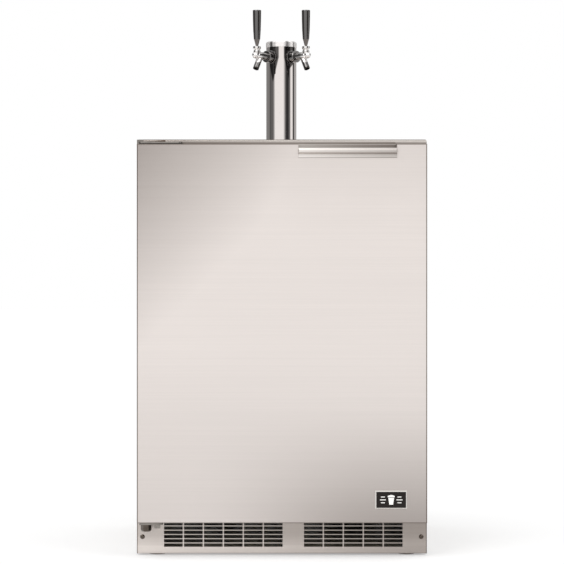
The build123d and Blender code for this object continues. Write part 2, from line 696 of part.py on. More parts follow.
def fan_rotor(plane, tip_radius, depth):
    """A hub with tilted blades around a bore for the fan's spindle; local z is the spindle."""
    hub = 14.0
    length = tip_radius - hub + 2
    with Locations(plane):
        with PolarLocations(hub - 2 + length / 2, BLADE_COUNT):
            Box(length, 2.0, depth, rotation=(52, 0, 0))
        Cylinder(hub, depth * 0.9)
        Cylinder(2.5 + RUNNING, depth * 2, mode=Mode.SUBTRACT)


with BuildPart() as condenser_fan_blades:
    fan_rotor(Plane(origin=(FAN_LEFT + 10, BAY_AXIS, FAN_LEVEL), z_dir=(1, 0, 0)), 41.0, 14.0)
save(condenser_fan_blades, "condenser_fan_blades")

CORD_RADIUS = 3.6
CORD_Y = 309.5
CORD_LEVEL = 60.0
CORD_REACH = 230.0
CORD_TOP = 90.0
CORD_PLUG_LEVEL = 42.0

with BuildPart() as rear_cover:
    span(
        (-SHELL_INSIDE + 2.5, 300.0, PAN_LEVEL + PLATE + 1),
        (SHELL_INSIDE - 2.5, REAR_COVER_FACE, BAY_TOP - 2),
    )
    for group_x in (-170.0, 150.0):
        with BuildSketch(Plane.XZ.offset(-REAR_COVER_FACE - 1)):
            with Locations((group_x, 150.0)):
                with GridLocations(24, 12, 8, 9):
                    SlotOverall(18, 5)
        extrude(amount=4, mode=Mode.SUBTRACT)
    rod(5.2, (0, 299, CORD_LEVEL), (0, 303, CORD_LEVEL), Mode.SUBTRACT)
    screw_holes(COVER_SCREWS)
save(rear_cover, "rear_cover")

with BuildPart() as power_cord:
    rod(5.0, (0, 298.0, CORD_LEVEL), (0, 303.5, CORD_LEVEL))
    rod(7.5, (0, REAR_COVER_FACE + 0.3, CORD_LEVEL), (0, 304.5, CORD_LEVEL))
    bent_tube(
        CORD_RADIUS,
        5.0,
        [
            (0, 303, CORD_LEVEL),
            (0, CORD_Y, CORD_LEVEL),
            (-CORD_REACH, CORD_Y, CORD_LEVEL),
            (-CORD_REACH, CORD_Y, CORD_TOP),
            (CORD_REACH, CORD_Y, CORD_TOP),
            (CORD_REACH, CORD_Y, CORD_PLUG_LEVEL),
            (40, CORD_Y, CORD_PLUG_LEVEL),
        ],
    )
    with BuildPart(mode=Mode.PRIVATE) as plug_body:
        span((18, CORD_Y - 7.5, CORD_PLUG_LEVEL - 12), (44, CORD_Y + 7.5, CORD_PLUG_LEVEL + 12))
        fillet(plug_body.edges().filter_by(Axis.X), 3)
    add(plug_body.part)
    for dy, dz in ((-3.0, 5.0), (-3.0, -5.0), (3.5, 0.0)):
        prong = (CORD_Y + dy, CORD_PLUG_LEVEL + dz)
        rod(1.6, (2, *prong), (20, *prong))
save(power_cord, "power_cord")

with BuildPart() as evaporator_coil:
    tube_y = 262.0
    runs = []
    for row in range(5):
        level = EVAP_BOTTOM + 40 + row * 26
        ends = (EVAP_LEFT + 22, EVAP_RIGHT - 22)
        for x in ends if row % 2 == 0 else reversed(ends):
            runs.append((x, tube_y, level))
    bent_tube(4.0, 12.9, runs)
    for fin in range(19):
        x = EVAP_LEFT + 45 + fin * 13.3
        span((x - 0.3, tube_y - 12, EVAP_BOTTOM + 26), (x + 0.3, tube_y + 12, EVAP_BOTTOM + 158))
save(evaporator_coil, "evaporator_coil")

EVAP_WALL = 2.0
EVAP_FAN_HOLE = 48.0
KNOB_X = 215.0
KNOB_LEVEL = 720.0

with BuildPart() as evaporator_cover:
    span((EVAP_LEFT, EVAP_FRONT, EVAP_BOTTOM), (EVAP_RIGHT, ROOM_REAR, EVAP_TOP))
    fillet(evaporator_cover.edges().filter_by(Axis.Y), 12)
    fillet(evaporator_cover.faces().sort_by(Axis.Y)[0].edges(), 5)
    span(
        (EVAP_LEFT + EVAP_WALL, EVAP_FRONT + EVAP_WALL, EVAP_BOTTOM + EVAP_WALL),
        (EVAP_RIGHT - EVAP_WALL, ROOM_REAR + 1, EVAP_TOP - EVAP_WALL),
        Mode.SUBTRACT,
    )
    rod(
        EVAP_FAN_HOLE,
        (EVAP_FAN_X, EVAP_FRONT - 1, EVAP_FAN_LEVEL),
        (EVAP_FAN_X, EVAP_FRONT + 6, EVAP_FAN_LEVEL),
        Mode.SUBTRACT,
    )
    for ring in (46.0, 37.0, 28.0, 19.0):
        lathe(
            Axis((EVAP_FAN_X, EVAP_FRONT, EVAP_FAN_LEVEL), (0, 1, 0)),
            [(0, ring - 1.2), (0, ring + 1.2), (2, ring + 1.2), (2, ring - 1.2)],
        )
    for spoke in range(0, 360, 60):
        far = EVAP_FAN_HOLE + 1
        rod(
            0.8,
            (EVAP_FAN_X, EVAP_FRONT + 1, EVAP_FAN_LEVEL),
            (
                EVAP_FAN_X + far * cos(radians(spoke)),
                EVAP_FRONT + 1,
                EVAP_FAN_LEVEL + far * sin(radians(spoke)),
            ),
        )
    rod(15, (EVAP_FAN_X, EVAP_FRONT, EVAP_FAN_LEVEL), (EVAP_FAN_X, EVAP_FRONT + 4, EVAP_FAN_LEVEL))
    rod(2.5, (EVAP_FAN_X, EVAP_FRONT + 3, EVAP_FAN_LEVEL), (EVAP_FAN_X, EVAP_FRONT + 24, EVAP_FAN_LEVEL))
    with BuildSketch(Plane.XZ.offset(-EVAP_FRONT + 2)):
        with Locations((EVAP_FAN_X, EVAP_BOTTOM + 60)):
            with GridLocations(60, 12, 5, 5):
                SlotOverall(48, 5)
    extrude(amount=-6, mode=Mode.SUBTRACT)
    rod(
        3 + RUNNING,
        (KNOB_X, EVAP_FRONT - 1, KNOB_LEVEL),
        (KNOB_X, EVAP_FRONT + 5, KNOB_LEVEL),
        Mode.SUBTRACT,
    )
    rod(LINE_HOLE_RADIUS, (*LINE_HOLE, EVAP_BOTTOM - 1), (*LINE_HOLE, EVAP_BOTTOM + 4), Mode.SUBTRACT)
save(evaporator_cover, "evaporator_cover")

with BuildPart() as evaporator_fan_blades:
    fan_rotor(Plane(origin=(EVAP_FAN_X, EVAP_FRONT + 14.5, EVAP_FAN_LEVEL), z_dir=(0, 1, 0)), 44.0, 14.0)
save(evaporator_fan_blades, "evaporator_fan_blades")

with BuildPart() as temperature_knob:
    lathe(
        Axis((KNOB_X, EVAP_FRONT, KNOB_LEVEL), (0, -1, 0)),
        [(-8, 0), (-8, 3), (0.5, 3), (0.5, 19), (3, 19), (5, 16), (14, 14.5), (15, 13), (15, 0)],
    )
    span((KNOB_X - 1.2, EVAP_FRONT - 16, KNOB_LEVEL + 4), (KNOB_X + 1.2, EVAP_FRONT - 13, KNOB_LEVEL + 14))
save(temperature_knob, "temperature_knob")

LINE_RADIUS = 3.2

with BuildPart() as refrigerant_lines:
    hose(
        LINE_RADIUS,
        [
            (COMPRESSOR_X - 50, BAY_AXIS - 20, 140),
            (COMPRESSOR_X - 90, BAY_AXIS - 24, 175),
            (-60, BAY_AXIS - 24, 180),
            (-186, BAY_AXIS - 24, 165),
            (-186, 209, 140),
        ],
    )
    hose(
        LINE_RADIUS,
        [
            (-156, 290, 140),
            (-130, 285, 160),
            (-40, 270, 190),
        ],
    )
    lathe(
        Axis((-40, 270, 190), (1, 0, 0)),
        [(-2, 0), (-2, 4), (10, 9), (80, 9), (92, 4), (92, 0)],
    )
    hose(
        LINE_RADIUS,
        [
            (50, 270, 190),
            (140, 268, 200),
            (225, 265, 222),
            (229, 262, 260),
            (229, 262, 330),
            (229, 262, EVAP_BOTTOM + 12),
        ],
    )
    hose(
        LINE_RADIUS,
        [
            (241, 262, EVAP_BOTTOM + 12),
            (241, 262, 330),
            (241, 262, 255),
            (236, 258, 210),
            (222, 252, 150),
            (COMPRESSOR_X + 50, BAY_AXIS, 150),
        ],
    )
save(refrigerant_lines, "refrigerant_lines")

# ------------------------------------------------------------- gas supply

gas_axis = upright(GAS_X, GAS_Y)

with BuildPart() as gas_cylinder:
    lathe(
        gas_axis,
        [
            (STEP_TOP + 0.5, 0),
            (STEP_TOP + 0.5, GAS_RADIUS - 8),
            (STEP_TOP + 4, GAS_RADIUS - 2),
            (STEP_TOP + 10, GAS_RADIUS),
            (565, GAS_RADIUS),
            (580, GAS_RADIUS - 3),
            (595, GAS_RADIUS - 12),
            (606, GAS_RADIUS - 26),
            (613, 26),
            (616, 20),
            (622, 17),
            (GAS_BODY_TOP, 17),
            (GAS_BODY_TOP, 0),
        ],
    )
save(gas_cylinder, "gas_cylinder")

VALVE_TOP = 684.0

with BuildPart() as cylinder_valve:
    lathe(
        gas_axis,
        [
            (GAS_BODY_TOP, 0),
            (GAS_BODY_TOP, 15),
            (640, 15),
            (644, 12),
            (676, 12),
            (VALVE_TOP, 8),
            (VALVE_TOP, 0),
        ],
    )
    rod(9.0, (GAS_X, GAS_Y, REGULATOR_LEVEL), (GAS_X, GAS_Y - 34, REGULATOR_LEVEL))
    rod(6.5, (GAS_X, GAS_Y, REGULATOR_LEVEL), (GAS_X, GAS_Y + 22, REGULATOR_LEVEL))
    rod(3 + RUNNING, (GAS_X, GAS_Y, VALVE_TOP - 8), (GAS_X, GAS_Y, VALVE_TOP + 1), Mode.SUBTRACT)
save(cylinder_valve, "cylinder_valve")

with BuildPart() as cylinder_handwheel:
    lathe(
        gas_axis,
        [
            (VALVE_TOP - 7, 0),
            (VALVE_TOP - 7, 3),
            (VALVE_TOP + 1, 3),
            (VALVE_TOP + 1, 9),
            (VALVE_TOP + 4, 12),
            (VALVE_TOP + 4, 25),
            (VALVE_TOP + 8, 28),
            (VALVE_TOP + 13, 28),
            (VALVE_TOP + 16, 25),
            (VALVE_TOP + 16, 0),
        ],
    )
    with Locations((GAS_X, GAS_Y, VALVE_TOP + 10)):
        with PolarLocations(30.5, 12):
            Cylinder(4.5, 20, mode=Mode.SUBTRACT)
save(cylinder_handwheel, "cylinder_handwheel")

REGULATOR_REAR = GAS_Y - 34.0
REGULATOR_Y = 138.0
OUTLET_LEVEL = REGULATOR_LEVEL - 24.0
OUTLETS = (-202.0, -178.0)
GAUGE_RADIUS = 19.0
TOP_GAUGE = (GAS_X, REGULATOR_Y, REGULATOR_LEVEL + 50.0)
SIDE_GAUGE = (GAS_X - 49.0, REGULATOR_Y, REGULATOR_LEVEL)

with BuildPart() as regulator:
    regulator_axis = Axis((GAS_X, REGULATOR_REAR, REGULATOR_LEVEL), (0, -1, 0))
    lathe(
        regulator_axis,
        [(0, 0), (0, 13), (12, 13), (14, 8), (26, 8), (26, 24), (54, 24), (58, 21), (80, 12), (80, 0)],
    )
    rod(
        3 + RUNNING,
        (GAS_X, REGULATOR_REAR - 70, REGULATOR_LEVEL),
        (GAS_X, REGULATOR_REAR - 82, REGULATOR_LEVEL),
        Mode.SUBTRACT,
    )
    rod(4, (GAS_X, REGULATOR_Y, REGULATOR_LEVEL), (GAS_X, REGULATOR_Y, TOP_GAUGE[2] - GAUGE_RADIUS))
    side_port = (SIDE_GAUGE[0] + GAUGE_RADIUS, REGULATOR_Y, REGULATOR_LEVEL)
    rod(4, (GAS_X, REGULATOR_Y, REGULATOR_LEVEL), side_port)
    rod(9, (OUTLETS[0] - 8, REGULATOR_Y, OUTLET_LEVEL), (OUTLETS[1] + 8, REGULATOR_Y, OUTLET_LEVEL))
    for x in OUTLETS:
        rod(4, (x, REGULATOR_Y, OUTLET_LEVEL), (x, REGULATOR_Y, OUTLET_LEVEL - 22))
save(regulator, "regulator")

with BuildPart() as regulator_knob:
    lathe(
        Axis((GAS_X, REGULATOR_REAR - 80, REGULATOR_LEVEL), (0, -1, 0)),
        [(-8, 0), (-8, 3), (0.5, 3), (0.5, 14), (3, 15), (20, 13), (22, 11), (22, 0)],
    )
save(regulator_knob, "regulator_knob")

with BuildPart() as pressure_gauges:
    for x, y, level in (TOP_GAUGE, SIDE_GAUGE):
        lathe(
            Axis((x, y + 9, level), (0, -1, 0)),
            [
                (0, 0),
                (0, GAUGE_RADIUS - 3),
                (3, GAUGE_RADIUS),
                (18, GAUGE_RADIUS),
                (18, GAUGE_RADIUS - 2),
                (15.5, GAUGE_RADIUS - 2.5),
                (15.5, 0),
            ],
        )
save(pressure_gauges, "pressure_gauges")

COUPLER_NECK = COUPLER_BASE + 58
BARB_LEVEL = COUPLER_BASE + 16
BARB_END = 35.0
HOSE_END_LEVEL = OUTLET_LEVEL - 12
GAS_LOOP_LEVEL = 572.0
GAS_LINE_BEND = 35.0
GAS_ROUTES = {
    -1: [(-206, 60, GAS_LOOP_LEVEL), (-206, COUPLER_Y, BARB_LEVEL)],
    1: [(-100, 70, GAS_LOOP_LEVEL), (20, 20, 640), (44, COUPLER_Y, BARB_LEVEL)],
}

with BuildPart() as gas_lines:
    for side, x in zip((-1, 1), OUTLETS):
        start = (x, REGULATOR_Y, HOSE_END_LEVEL)
        loop = (x, REGULATOR_Y, GAS_LOOP_LEVEL)
        end = (side * COUPLER_X - BARB_END, COUPLER_Y, BARB_LEVEL)
        rod(GAS_LINE_RADIUS + 1.5, start, (x, REGULATOR_Y, HOSE_END_LEVEL - 18))
        bent_tube(GAS_LINE_RADIUS, GAS_LINE_BEND, [start, loop, *GAS_ROUTES[side], end])
        rod(4 + RUNNING, (x, REGULATOR_Y, HOSE_END_LEVEL - 11), (x, REGULATOR_Y, OUTLET_LEVEL), Mode.SUBTRACT)
save(gas_lines, "gas_lines")

# --------------------------------------------------------------- couplers

COUPLER_PIVOT_Y = COUPLER_Y + 24
COUPLER_PIVOT_LEVEL = COUPLER_BASE + 50
PROBE_BOTTOM = COUPLER_BASE - 6
PROBE_TOP = COUPLER_BASE + 78
PROBE_TRAVEL = 13.6
COUPLER_PIN_RADIUS = 3.0
PIN_HALF_LENGTH = 22.0
CHEEK_INNER = 19.0
CHEEK_OUTER = 23.0
FORK_REACH = 56.0
GRIP_REACH = 136.0
GRIP_HALF_WIDTH = 10.0
GRIP_HALF_HEIGHT = 6.0

with BuildPart() as coupler_bodies:
    for side in (-1, 1):
        x = side * COUPLER_X
        lathe(
            upright(x, COUPLER_Y),
            [
                (COUPLER_BASE, 0),
                (COUPLER_BASE, 29),
                (COUPLER_BASE + 8, 29),
                (COUPLER_BASE + 10, 22),
                (COUPLER_BASE + 14, 17),
                (COUPLER_BASE + 48, 17),
                (COUPLER_BASE + 50, 13),
                (COUPLER_NECK, 13),
                (COUPLER_NECK, 0),
            ],
        )
        rod(4, (x - 10, COUPLER_Y, BARB_LEVEL + 0.5), (x - BARB_END + 0.5, COUPLER_Y, BARB_LEVEL + 0.5))
        rod(
            PROBE_RADIUS + RUNNING,
            (x, COUPLER_Y, COUPLER_BASE - 1),
            (x, COUPLER_Y, COUPLER_NECK + 1),
            Mode.SUBTRACT,
        )
        span(
            (x - 5, COUPLER_Y + 12, COUPLER_PIVOT_LEVEL - 12),
            (x + 5, COUPLER_PIVOT_Y + 5, COUPLER_PIVOT_LEVEL + 5),
        )
        rod(
            COUPLER_PIN_RADIUS + RUNNING,
            (x - 8, COUPLER_PIVOT_Y, COUPLER_PIVOT_LEVEL),
            (x + 8, COUPLER_PIVOT_Y, COUPLER_PIVOT_LEVEL),
            Mode.SUBTRACT,
        )
save(coupler_bodies, "coupler_bodies")

for name, side in TAPS.items():
    x = side * COUPLER_X
    with BuildPart() as coupler_probe:
        rod(PROBE_RADIUS, (x, COUPLER_Y, PROBE_BOTTOM), (x, COUPLER_Y, PROBE_TOP))
        rod(9, (x, COUPLER_Y, COUPLER_NECK + PROBE_TRAVEL + 0.9), (x, COUPLER_Y, PROBE_TOP))
        rod(BEER_LINE_RADIUS + RUNNING, (x, COUPLER_Y, PROBE_TOP - 40), (x, COUPLER_Y, 900), Mode.SUBTRACT)
        rod(3.0, (x, COUPLER_Y, 600), (x, COUPLER_Y, 900), Mode.SUBTRACT)
    save(coupler_probe, f"{name}_coupler_probe")

    with BuildPart() as coupler_handle:
        fork_end = COUPLER_PIVOT_Y - FORK_REACH
        low = COUPLER_PIVOT_LEVEL - GRIP_HALF_HEIGHT
        high = COUPLER_PIVOT_LEVEL + GRIP_HALF_HEIGHT
        rod(
            COUPLER_PIN_RADIUS,
            (x - PIN_HALF_LENGTH, COUPLER_PIVOT_Y, COUPLER_PIVOT_LEVEL),
            (x + PIN_HALF_LENGTH, COUPLER_PIVOT_Y, COUPLER_PIVOT_LEVEL),
        )
        for cheek in (-1, 1):
            span(
                (x + cheek * CHEEK_INNER, COUPLER_PIVOT_Y + 6, low),
                (x + cheek * CHEEK_OUTER, fork_end, high),
            )
        span((x - CHEEK_OUTER, fork_end, low), (x + CHEEK_OUTER, fork_end - 6, high))
        span(
            (x - GRIP_HALF_WIDTH, fork_end, low),
            (x + GRIP_HALF_WIDTH, COUPLER_PIVOT_Y - GRIP_REACH, high),
        )
        fillet(coupler_handle.faces().sort_by(Axis.Y)[0].edges().filter_by(Axis.Z), 8)
    save(coupler_handle, f"{name}_coupler_handle")

RISER_REACH = 9.0
CEILING_RUN_LEVEL = ROOM_CEILING - 11.0
RISER_JOIN_LEVEL = 960.0

with BuildPart() as beer_lines:
    for side in TAPS.values():
        x = side * COUPLER_X
        under_ceiling = tap_point(side, RISER_REACH, CEILING_RUN_LEVEL)
        join = tap_point(side, RISER_REACH, RISER_JOIN_LEVEL)
        elbow = tap_point(side, RISER_REACH, TAP_LEVEL)
        bent_tube(
            BEER_LINE_RADIUS,
            16.0,
            [
                (x, COUPLER_Y, PROBE_TOP - 25),
                (x, COUPLER_Y, CEILING_RUN_LEVEL),
                under_ceiling,
                join,
            ],
        )
        bent_tube(BEER_LINE_RADIUS, 6.0, [join, elbow, tap_point(side, 22, TAP_LEVEL)])
save(beer_lines, "beer_lines")

# ------------------------------------------------------------------ tower

SHANK_RADIUS = 10.5
NUT_START = 39.5
NUT_END = 52.5
tower_axis = upright(0, 0)

with BuildPart() as tower_column:
    lathe(
        tower_axis,
        [
            (CABINET_TOP, 27),
            (CABINET_TOP, FLANGE_RADIUS),
            (CABINET_TOP + FLANGE_HEIGHT - 1.5, FLANGE_RADIUS),
            (CABINET_TOP + FLANGE_HEIGHT, FLANGE_RADIUS - 1.5),
            (CABINET_TOP + FLANGE_HEIGHT, TOWER_RADIUS + 1.5),
            (CABINET_TOP + FLANGE_HEIGHT + 1.5, TOWER_RADIUS),
            (CAP_BOTTOM + 10, TOWER_RADIUS),
            (CAP_BOTTOM + 10, TOWER_RADIUS - TOWER_WALL),
            (CABINET_TOP + 3, TOWER_RADIUS - TOWER_WALL),
            (CABINET_TOP + 3, 27),
        ],
    )
    for side in TAPS.values():
        rod(SHANK_RADIUS + RUNNING, (0, 0, TAP_LEVEL), tap_point(side, 60, TAP_LEVEL), Mode.SUBTRACT)
    screw_holes(TOWER_SCREWS)
save(tower_column, "tower_column")

with BuildPart() as tower_cap:
    lathe(
        tower_axis,
        [
            (CAP_BOTTOM, TOWER_RADIUS + RUNNING),
            (CAP_BOTTOM, CAP_RADIUS),
            (TOWER_TOP - 3, CAP_RADIUS),
            (TOWER_TOP - 1.2, CAP_RADIUS - 0.9),
            (TOWER_TOP, CAP_RADIUS - 3),
            (TOWER_TOP, 0),
            (TOWER_TOP - 2, 0),
            (TOWER_TOP - 2, TOWER_RADIUS + RUNNING),
        ],
    )
save(tower_cap, "tower_cap")

with BuildPart() as faucet_shanks:
    for side in TAPS.values():
        lathe(tap_axis(side), [(28.0, 0), (28.0, 14.0), (36.0, 14.0), (37.0, 13.0), (37.0, 0)])
    lathe(
        tower_axis,
        [
            (TAP_LEVEL - 30, 0),
            (TAP_LEVEL - 30, TOWER_RADIUS + RUNNING),
            (TAP_LEVEL + 30, TOWER_RADIUS + RUNNING),
            (TAP_LEVEL + 30, 0),
        ],
        Mode.SUBTRACT,
    )
    for side in TAPS.values():
        lathe(
            tap_axis(side),
            [
                (15.0, 5.0),
                (15.0, SHANK_RADIUS),
                (19.0, SHANK_RADIUS),
                (19.0, 13.5),
                (25.0, 13.5),
                (25.0, SHANK_RADIUS),
                (42.0, SHANK_RADIUS),
                (42.0, 5.0),
            ],
        )
save(faucet_shanks, "faucet_shanks")

FAUCET_RADIUS = 8.25
SHAFT_RADIUS = 4.0
SHAFT_START = 60.0
SHAFT_END = 90.0

with BuildPart() as coupling_nuts:
    for side in TAPS.values():
        lathe(
            tap_axis(side),
            [
                (NUT_START, SHANK_RADIUS + RUNNING),
                (NUT_START, 12.0),
                (NUT_START + 1, 12.9),
                (NUT_END - 1, 12.9),
                (NUT_END, 12.0),
                (NUT_END, FAUCET_RADIUS + RUNNING),
                (NUT_END - 4, FAUCET_RADIUS + RUNNING),
                (NUT_END - 4, SHANK_RADIUS + RUNNING),
            ],
        )
save(coupling_nuts, "coupling_nuts")

BODY_START = 42.1
BODY_END = 86.0
SPOUT_ROOT = (72.6, 1062.0)
SPOUT_TIP = (87.0, 1035.5)
BEYOND_TIP = tuple(tip + 0.2 * (tip - root) for root, tip in zip(SPOUT_ROOT, SPOUT_TIP))
BONNET_SEAT = 1074.0

with BuildPart() as faucet_bodies:
    for side in TAPS.values():
        lathe(
            tap_axis(side),
            [
                (BODY_START, 0),
                (BODY_START, SHANK_RADIUS),
                (NUT_END - 4.1, SHANK_RADIUS),
                (NUT_END - 4.1, FAUCET_RADIUS),
                (BODY_END - 3, FAUCET_RADIUS),
                (BODY_END, 6.6),
                (BODY_END, 0),
            ],
        )
        with Locations(tap_point(side, NOSE_REACH, TAP_LEVEL)):
            Sphere(7.0)
        rod(6.4, tap_point(side, *SPOUT_ROOT), tap_point(side, *SPOUT_TIP))
        rod(7.5, tap_point(side, LEVER_REACH, TAP_LEVEL), tap_point(side, LEVER_REACH, BONNET_SEAT))
    for side in TAPS.values():
        rod(5.0, tap_point(side, 40, TAP_LEVEL), tap_point(side, 70, TAP_LEVEL), Mode.SUBTRACT)
        rod(
            SHAFT_RADIUS + RUNNING,
            tap_point(side, SHAFT_START, TAP_LEVEL),
            tap_point(side, SHAFT_END + 0.3, TAP_LEVEL),
            Mode.SUBTRACT,
        )
        rod(4.6, tap_point(side, *SPOUT_ROOT), tap_point(side, *BEYOND_TIP), Mode.SUBTRACT)
        for near, far, low, high in ((73.4, 86.4, 1061.0, 1070.0), (75.7, 86.4, 1070.0, 1075.0)):
            with BuildSketch(tap_plane(side)):
                with Locations(((near + far) / 2, (low + high) / 2)):
                    Rectangle(far - near, high - low)
            extrude(amount=2.8, both=True, mode=Mode.SUBTRACT)
save(faucet_bodies, "faucet_bodies")

BALL_RADIUS = 4.2
CUP_RADIUS = 8.5
CUP_TOP = 1084.5
SOCKET_LOW = 1076.5
SOCKET_HIGH = 1081.5

with BuildPart() as faucet_bonnets:
    for side in TAPS.values():
        lathe(
            lever_axis(side),
            [
                (BONNET_SEAT, 5.3),
                (BONNET_SEAT, 7.5),
                (BONNET_SEAT + 1.2, 7.5),
                (BONNET_SEAT + 1.8, 6.2),
                (BONNET_SEAT + 2.8, 6.2),
                (BONNET_SEAT + 6.0, CUP_RADIUS),
                (CUP_TOP, CUP_RADIUS),
                (CUP_TOP, 7.4),
                (SOCKET_HIGH, BALL_RADIUS + RUNNING),
                (SOCKET_LOW, BALL_RADIUS + RUNNING),
                (SOCKET_LOW, 5.3),
            ],
        )
save(faucet_bonnets, "faucet_bonnets")

TIP_LEVEL = 1065.5
TIP_RADIUS = 2.4
FERRULE_TOP = 1100.0
STUD_RADIUS = 4.0
STUD_TOP = 1120.0

for name, side in TAPS.items():
    x, y, _ = tap_point(side, LEVER_REACH, 0)
    with BuildPart() as tap_lever:
        lathe(
            lever_axis(side),
            [
                (1080.0, 0),
                (1080.0, 2.3),
                (1086.0, 2.3),
                (1086.0, 2.8),
                (1088.0, 3.4),
                (FERRULE_TOP, 6.6),
                (FERRULE_TOP, STUD_RADIUS),
                (STUD_TOP, STUD_RADIUS),
                (STUD_TOP, 0),
            ],
        )
        with Locations((x, y, LEVER_PIVOT)):
            Sphere(BALL_RADIUS)
        rod(1.8, (x, y, TIP_LEVEL), (x, y, LEVER_PIVOT))
        with Locations((x, y, TIP_LEVEL)):
            Sphere(TIP_RADIUS)
    save(tap_lever, f"{name}_tap_lever")

    with BuildPart() as tap_handle:
        lathe(
            lever_axis(side),
            [
                (FERRULE_TOP + 0.05, STUD_RADIUS),
                (FERRULE_TOP + 0.05, 7.0),
                (FERRULE_TOP + 20, 8.3),
                (FERRULE_TOP + 42, 8.9),
                (HANDLE_TOP - 1.5, 9.2),
                (HANDLE_TOP - 0.4, 9.0),
                (HANDLE_TOP, 8.4),
                (HANDLE_TOP, 0),
                (STUD_TOP + 0.5, 0),
                (STUD_TOP + 0.5, STUD_RADIUS),
            ],
        )
    save(tap_handle, f"{name}_tap_handle")

    with BuildPart() as valve_shaft:
        rod(SHAFT_RADIUS, tap_point(side, SHAFT_START, TAP_LEVEL), tap_point(side, SHAFT_END, TAP_LEVEL))
        with BuildSketch(tap_plane(side)):
            with Locations((LEVER_REACH + 0.5, TAP_LEVEL + 2)):
                Rectangle(6.4, 10)
        extrude(amount=2.6, both=True, mode=Mode.SUBTRACT)
    save(valve_shaft, f"{name}_valve_shaft")

# -------------------------------------------------------------- drip tray

TRAY_WALL = 1.0
GRID_SEAT = 867.5
GRID_THICKNESS = 2.0
POST_INSET = 5.0
POST_RADIUS = 3.5

with BuildPart() as drip_tray:
    span((-TRAY_HALF_WIDTH, TRAY_FRONT, TRAY_BOTTOM), (TRAY_HALF_WIDTH, TRAY_REAR, CABINET_TOP + SHEET))
    span(
        (-TRAY_HALF_WIDTH - TRAY_RIM, TRAY_FRONT - TRAY_RIM, CABINET_TOP),
        (TRAY_HALF_WIDTH + TRAY_RIM, TRAY_REAR + TRAY_RIM, CABINET_TOP + SHEET),
    )
    fillet(drip_tray.edges().filter_by(Axis.Z).group_by(SortBy.LENGTH)[0], 6)
    inner = TRAY_HALF_WIDTH - TRAY_WALL
    span(
        (-inner, TRAY_FRONT + TRAY_WALL, TRAY_BOTTOM + TRAY_WALL),
        (inner, TRAY_REAR - TRAY_WALL, CABINET_TOP + 2),
        Mode.SUBTRACT,
    )
    for x in (POST_INSET - inner, inner - POST_INSET):
        for y in (TRAY_FRONT + TRAY_WALL + POST_INSET, TRAY_REAR - TRAY_WALL - POST_INSET):
            rod(POST_RADIUS, (x, y, TRAY_BOTTOM), (x, y, GRID_SEAT))
save(drip_tray, "drip_tray")

with BuildPart() as drip_grid:
    span(
        (-TRAY_HALF_WIDTH + 1.5, TRAY_FRONT + 1.5, GRID_SEAT),
        (TRAY_HALF_WIDTH - 1.5, TRAY_REAR - 1.5, GRID_SEAT + GRID_THICKNESS),
    )
    fillet(drip_grid.edges().filter_by(Axis.Z), 3)
    with BuildSketch(Plane.XY.offset(GRID_SEAT - 1)):
        with Locations((0, (TRAY_FRONT + TRAY_REAR) / 2)):
            with GridLocations(42, 10, 6, 11):
                SlotOverall(36, 5)
    extrude(amount=4, mode=Mode.SUBTRACT)
save(drip_grid, "drip_grid")
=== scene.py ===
import math

import bmesh
import bpy
from mathutils import Matrix, Vector


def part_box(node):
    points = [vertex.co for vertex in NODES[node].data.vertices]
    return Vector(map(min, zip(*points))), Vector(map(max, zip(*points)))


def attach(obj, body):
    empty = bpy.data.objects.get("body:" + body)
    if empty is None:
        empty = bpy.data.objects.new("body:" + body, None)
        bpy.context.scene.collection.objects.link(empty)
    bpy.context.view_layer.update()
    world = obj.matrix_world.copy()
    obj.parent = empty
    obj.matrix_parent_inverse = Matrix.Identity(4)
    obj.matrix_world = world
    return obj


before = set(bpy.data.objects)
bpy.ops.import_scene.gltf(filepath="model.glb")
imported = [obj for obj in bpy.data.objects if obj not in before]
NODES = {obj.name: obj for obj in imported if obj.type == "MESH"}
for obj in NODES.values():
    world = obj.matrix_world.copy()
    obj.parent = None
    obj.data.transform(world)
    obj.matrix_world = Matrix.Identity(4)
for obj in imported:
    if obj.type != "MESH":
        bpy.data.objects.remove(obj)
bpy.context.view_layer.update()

# Every length is in metres. Places come from the frame; the sizes below belong to looks only.
MM = 0.001

# Sockets of the node that blends two colours.
MIX_FACTOR, MIX_FIRST, MIX_SECOND, MIX_RESULT = 0, 6, 7, 2


# ------------------------------------------------------------------ materials

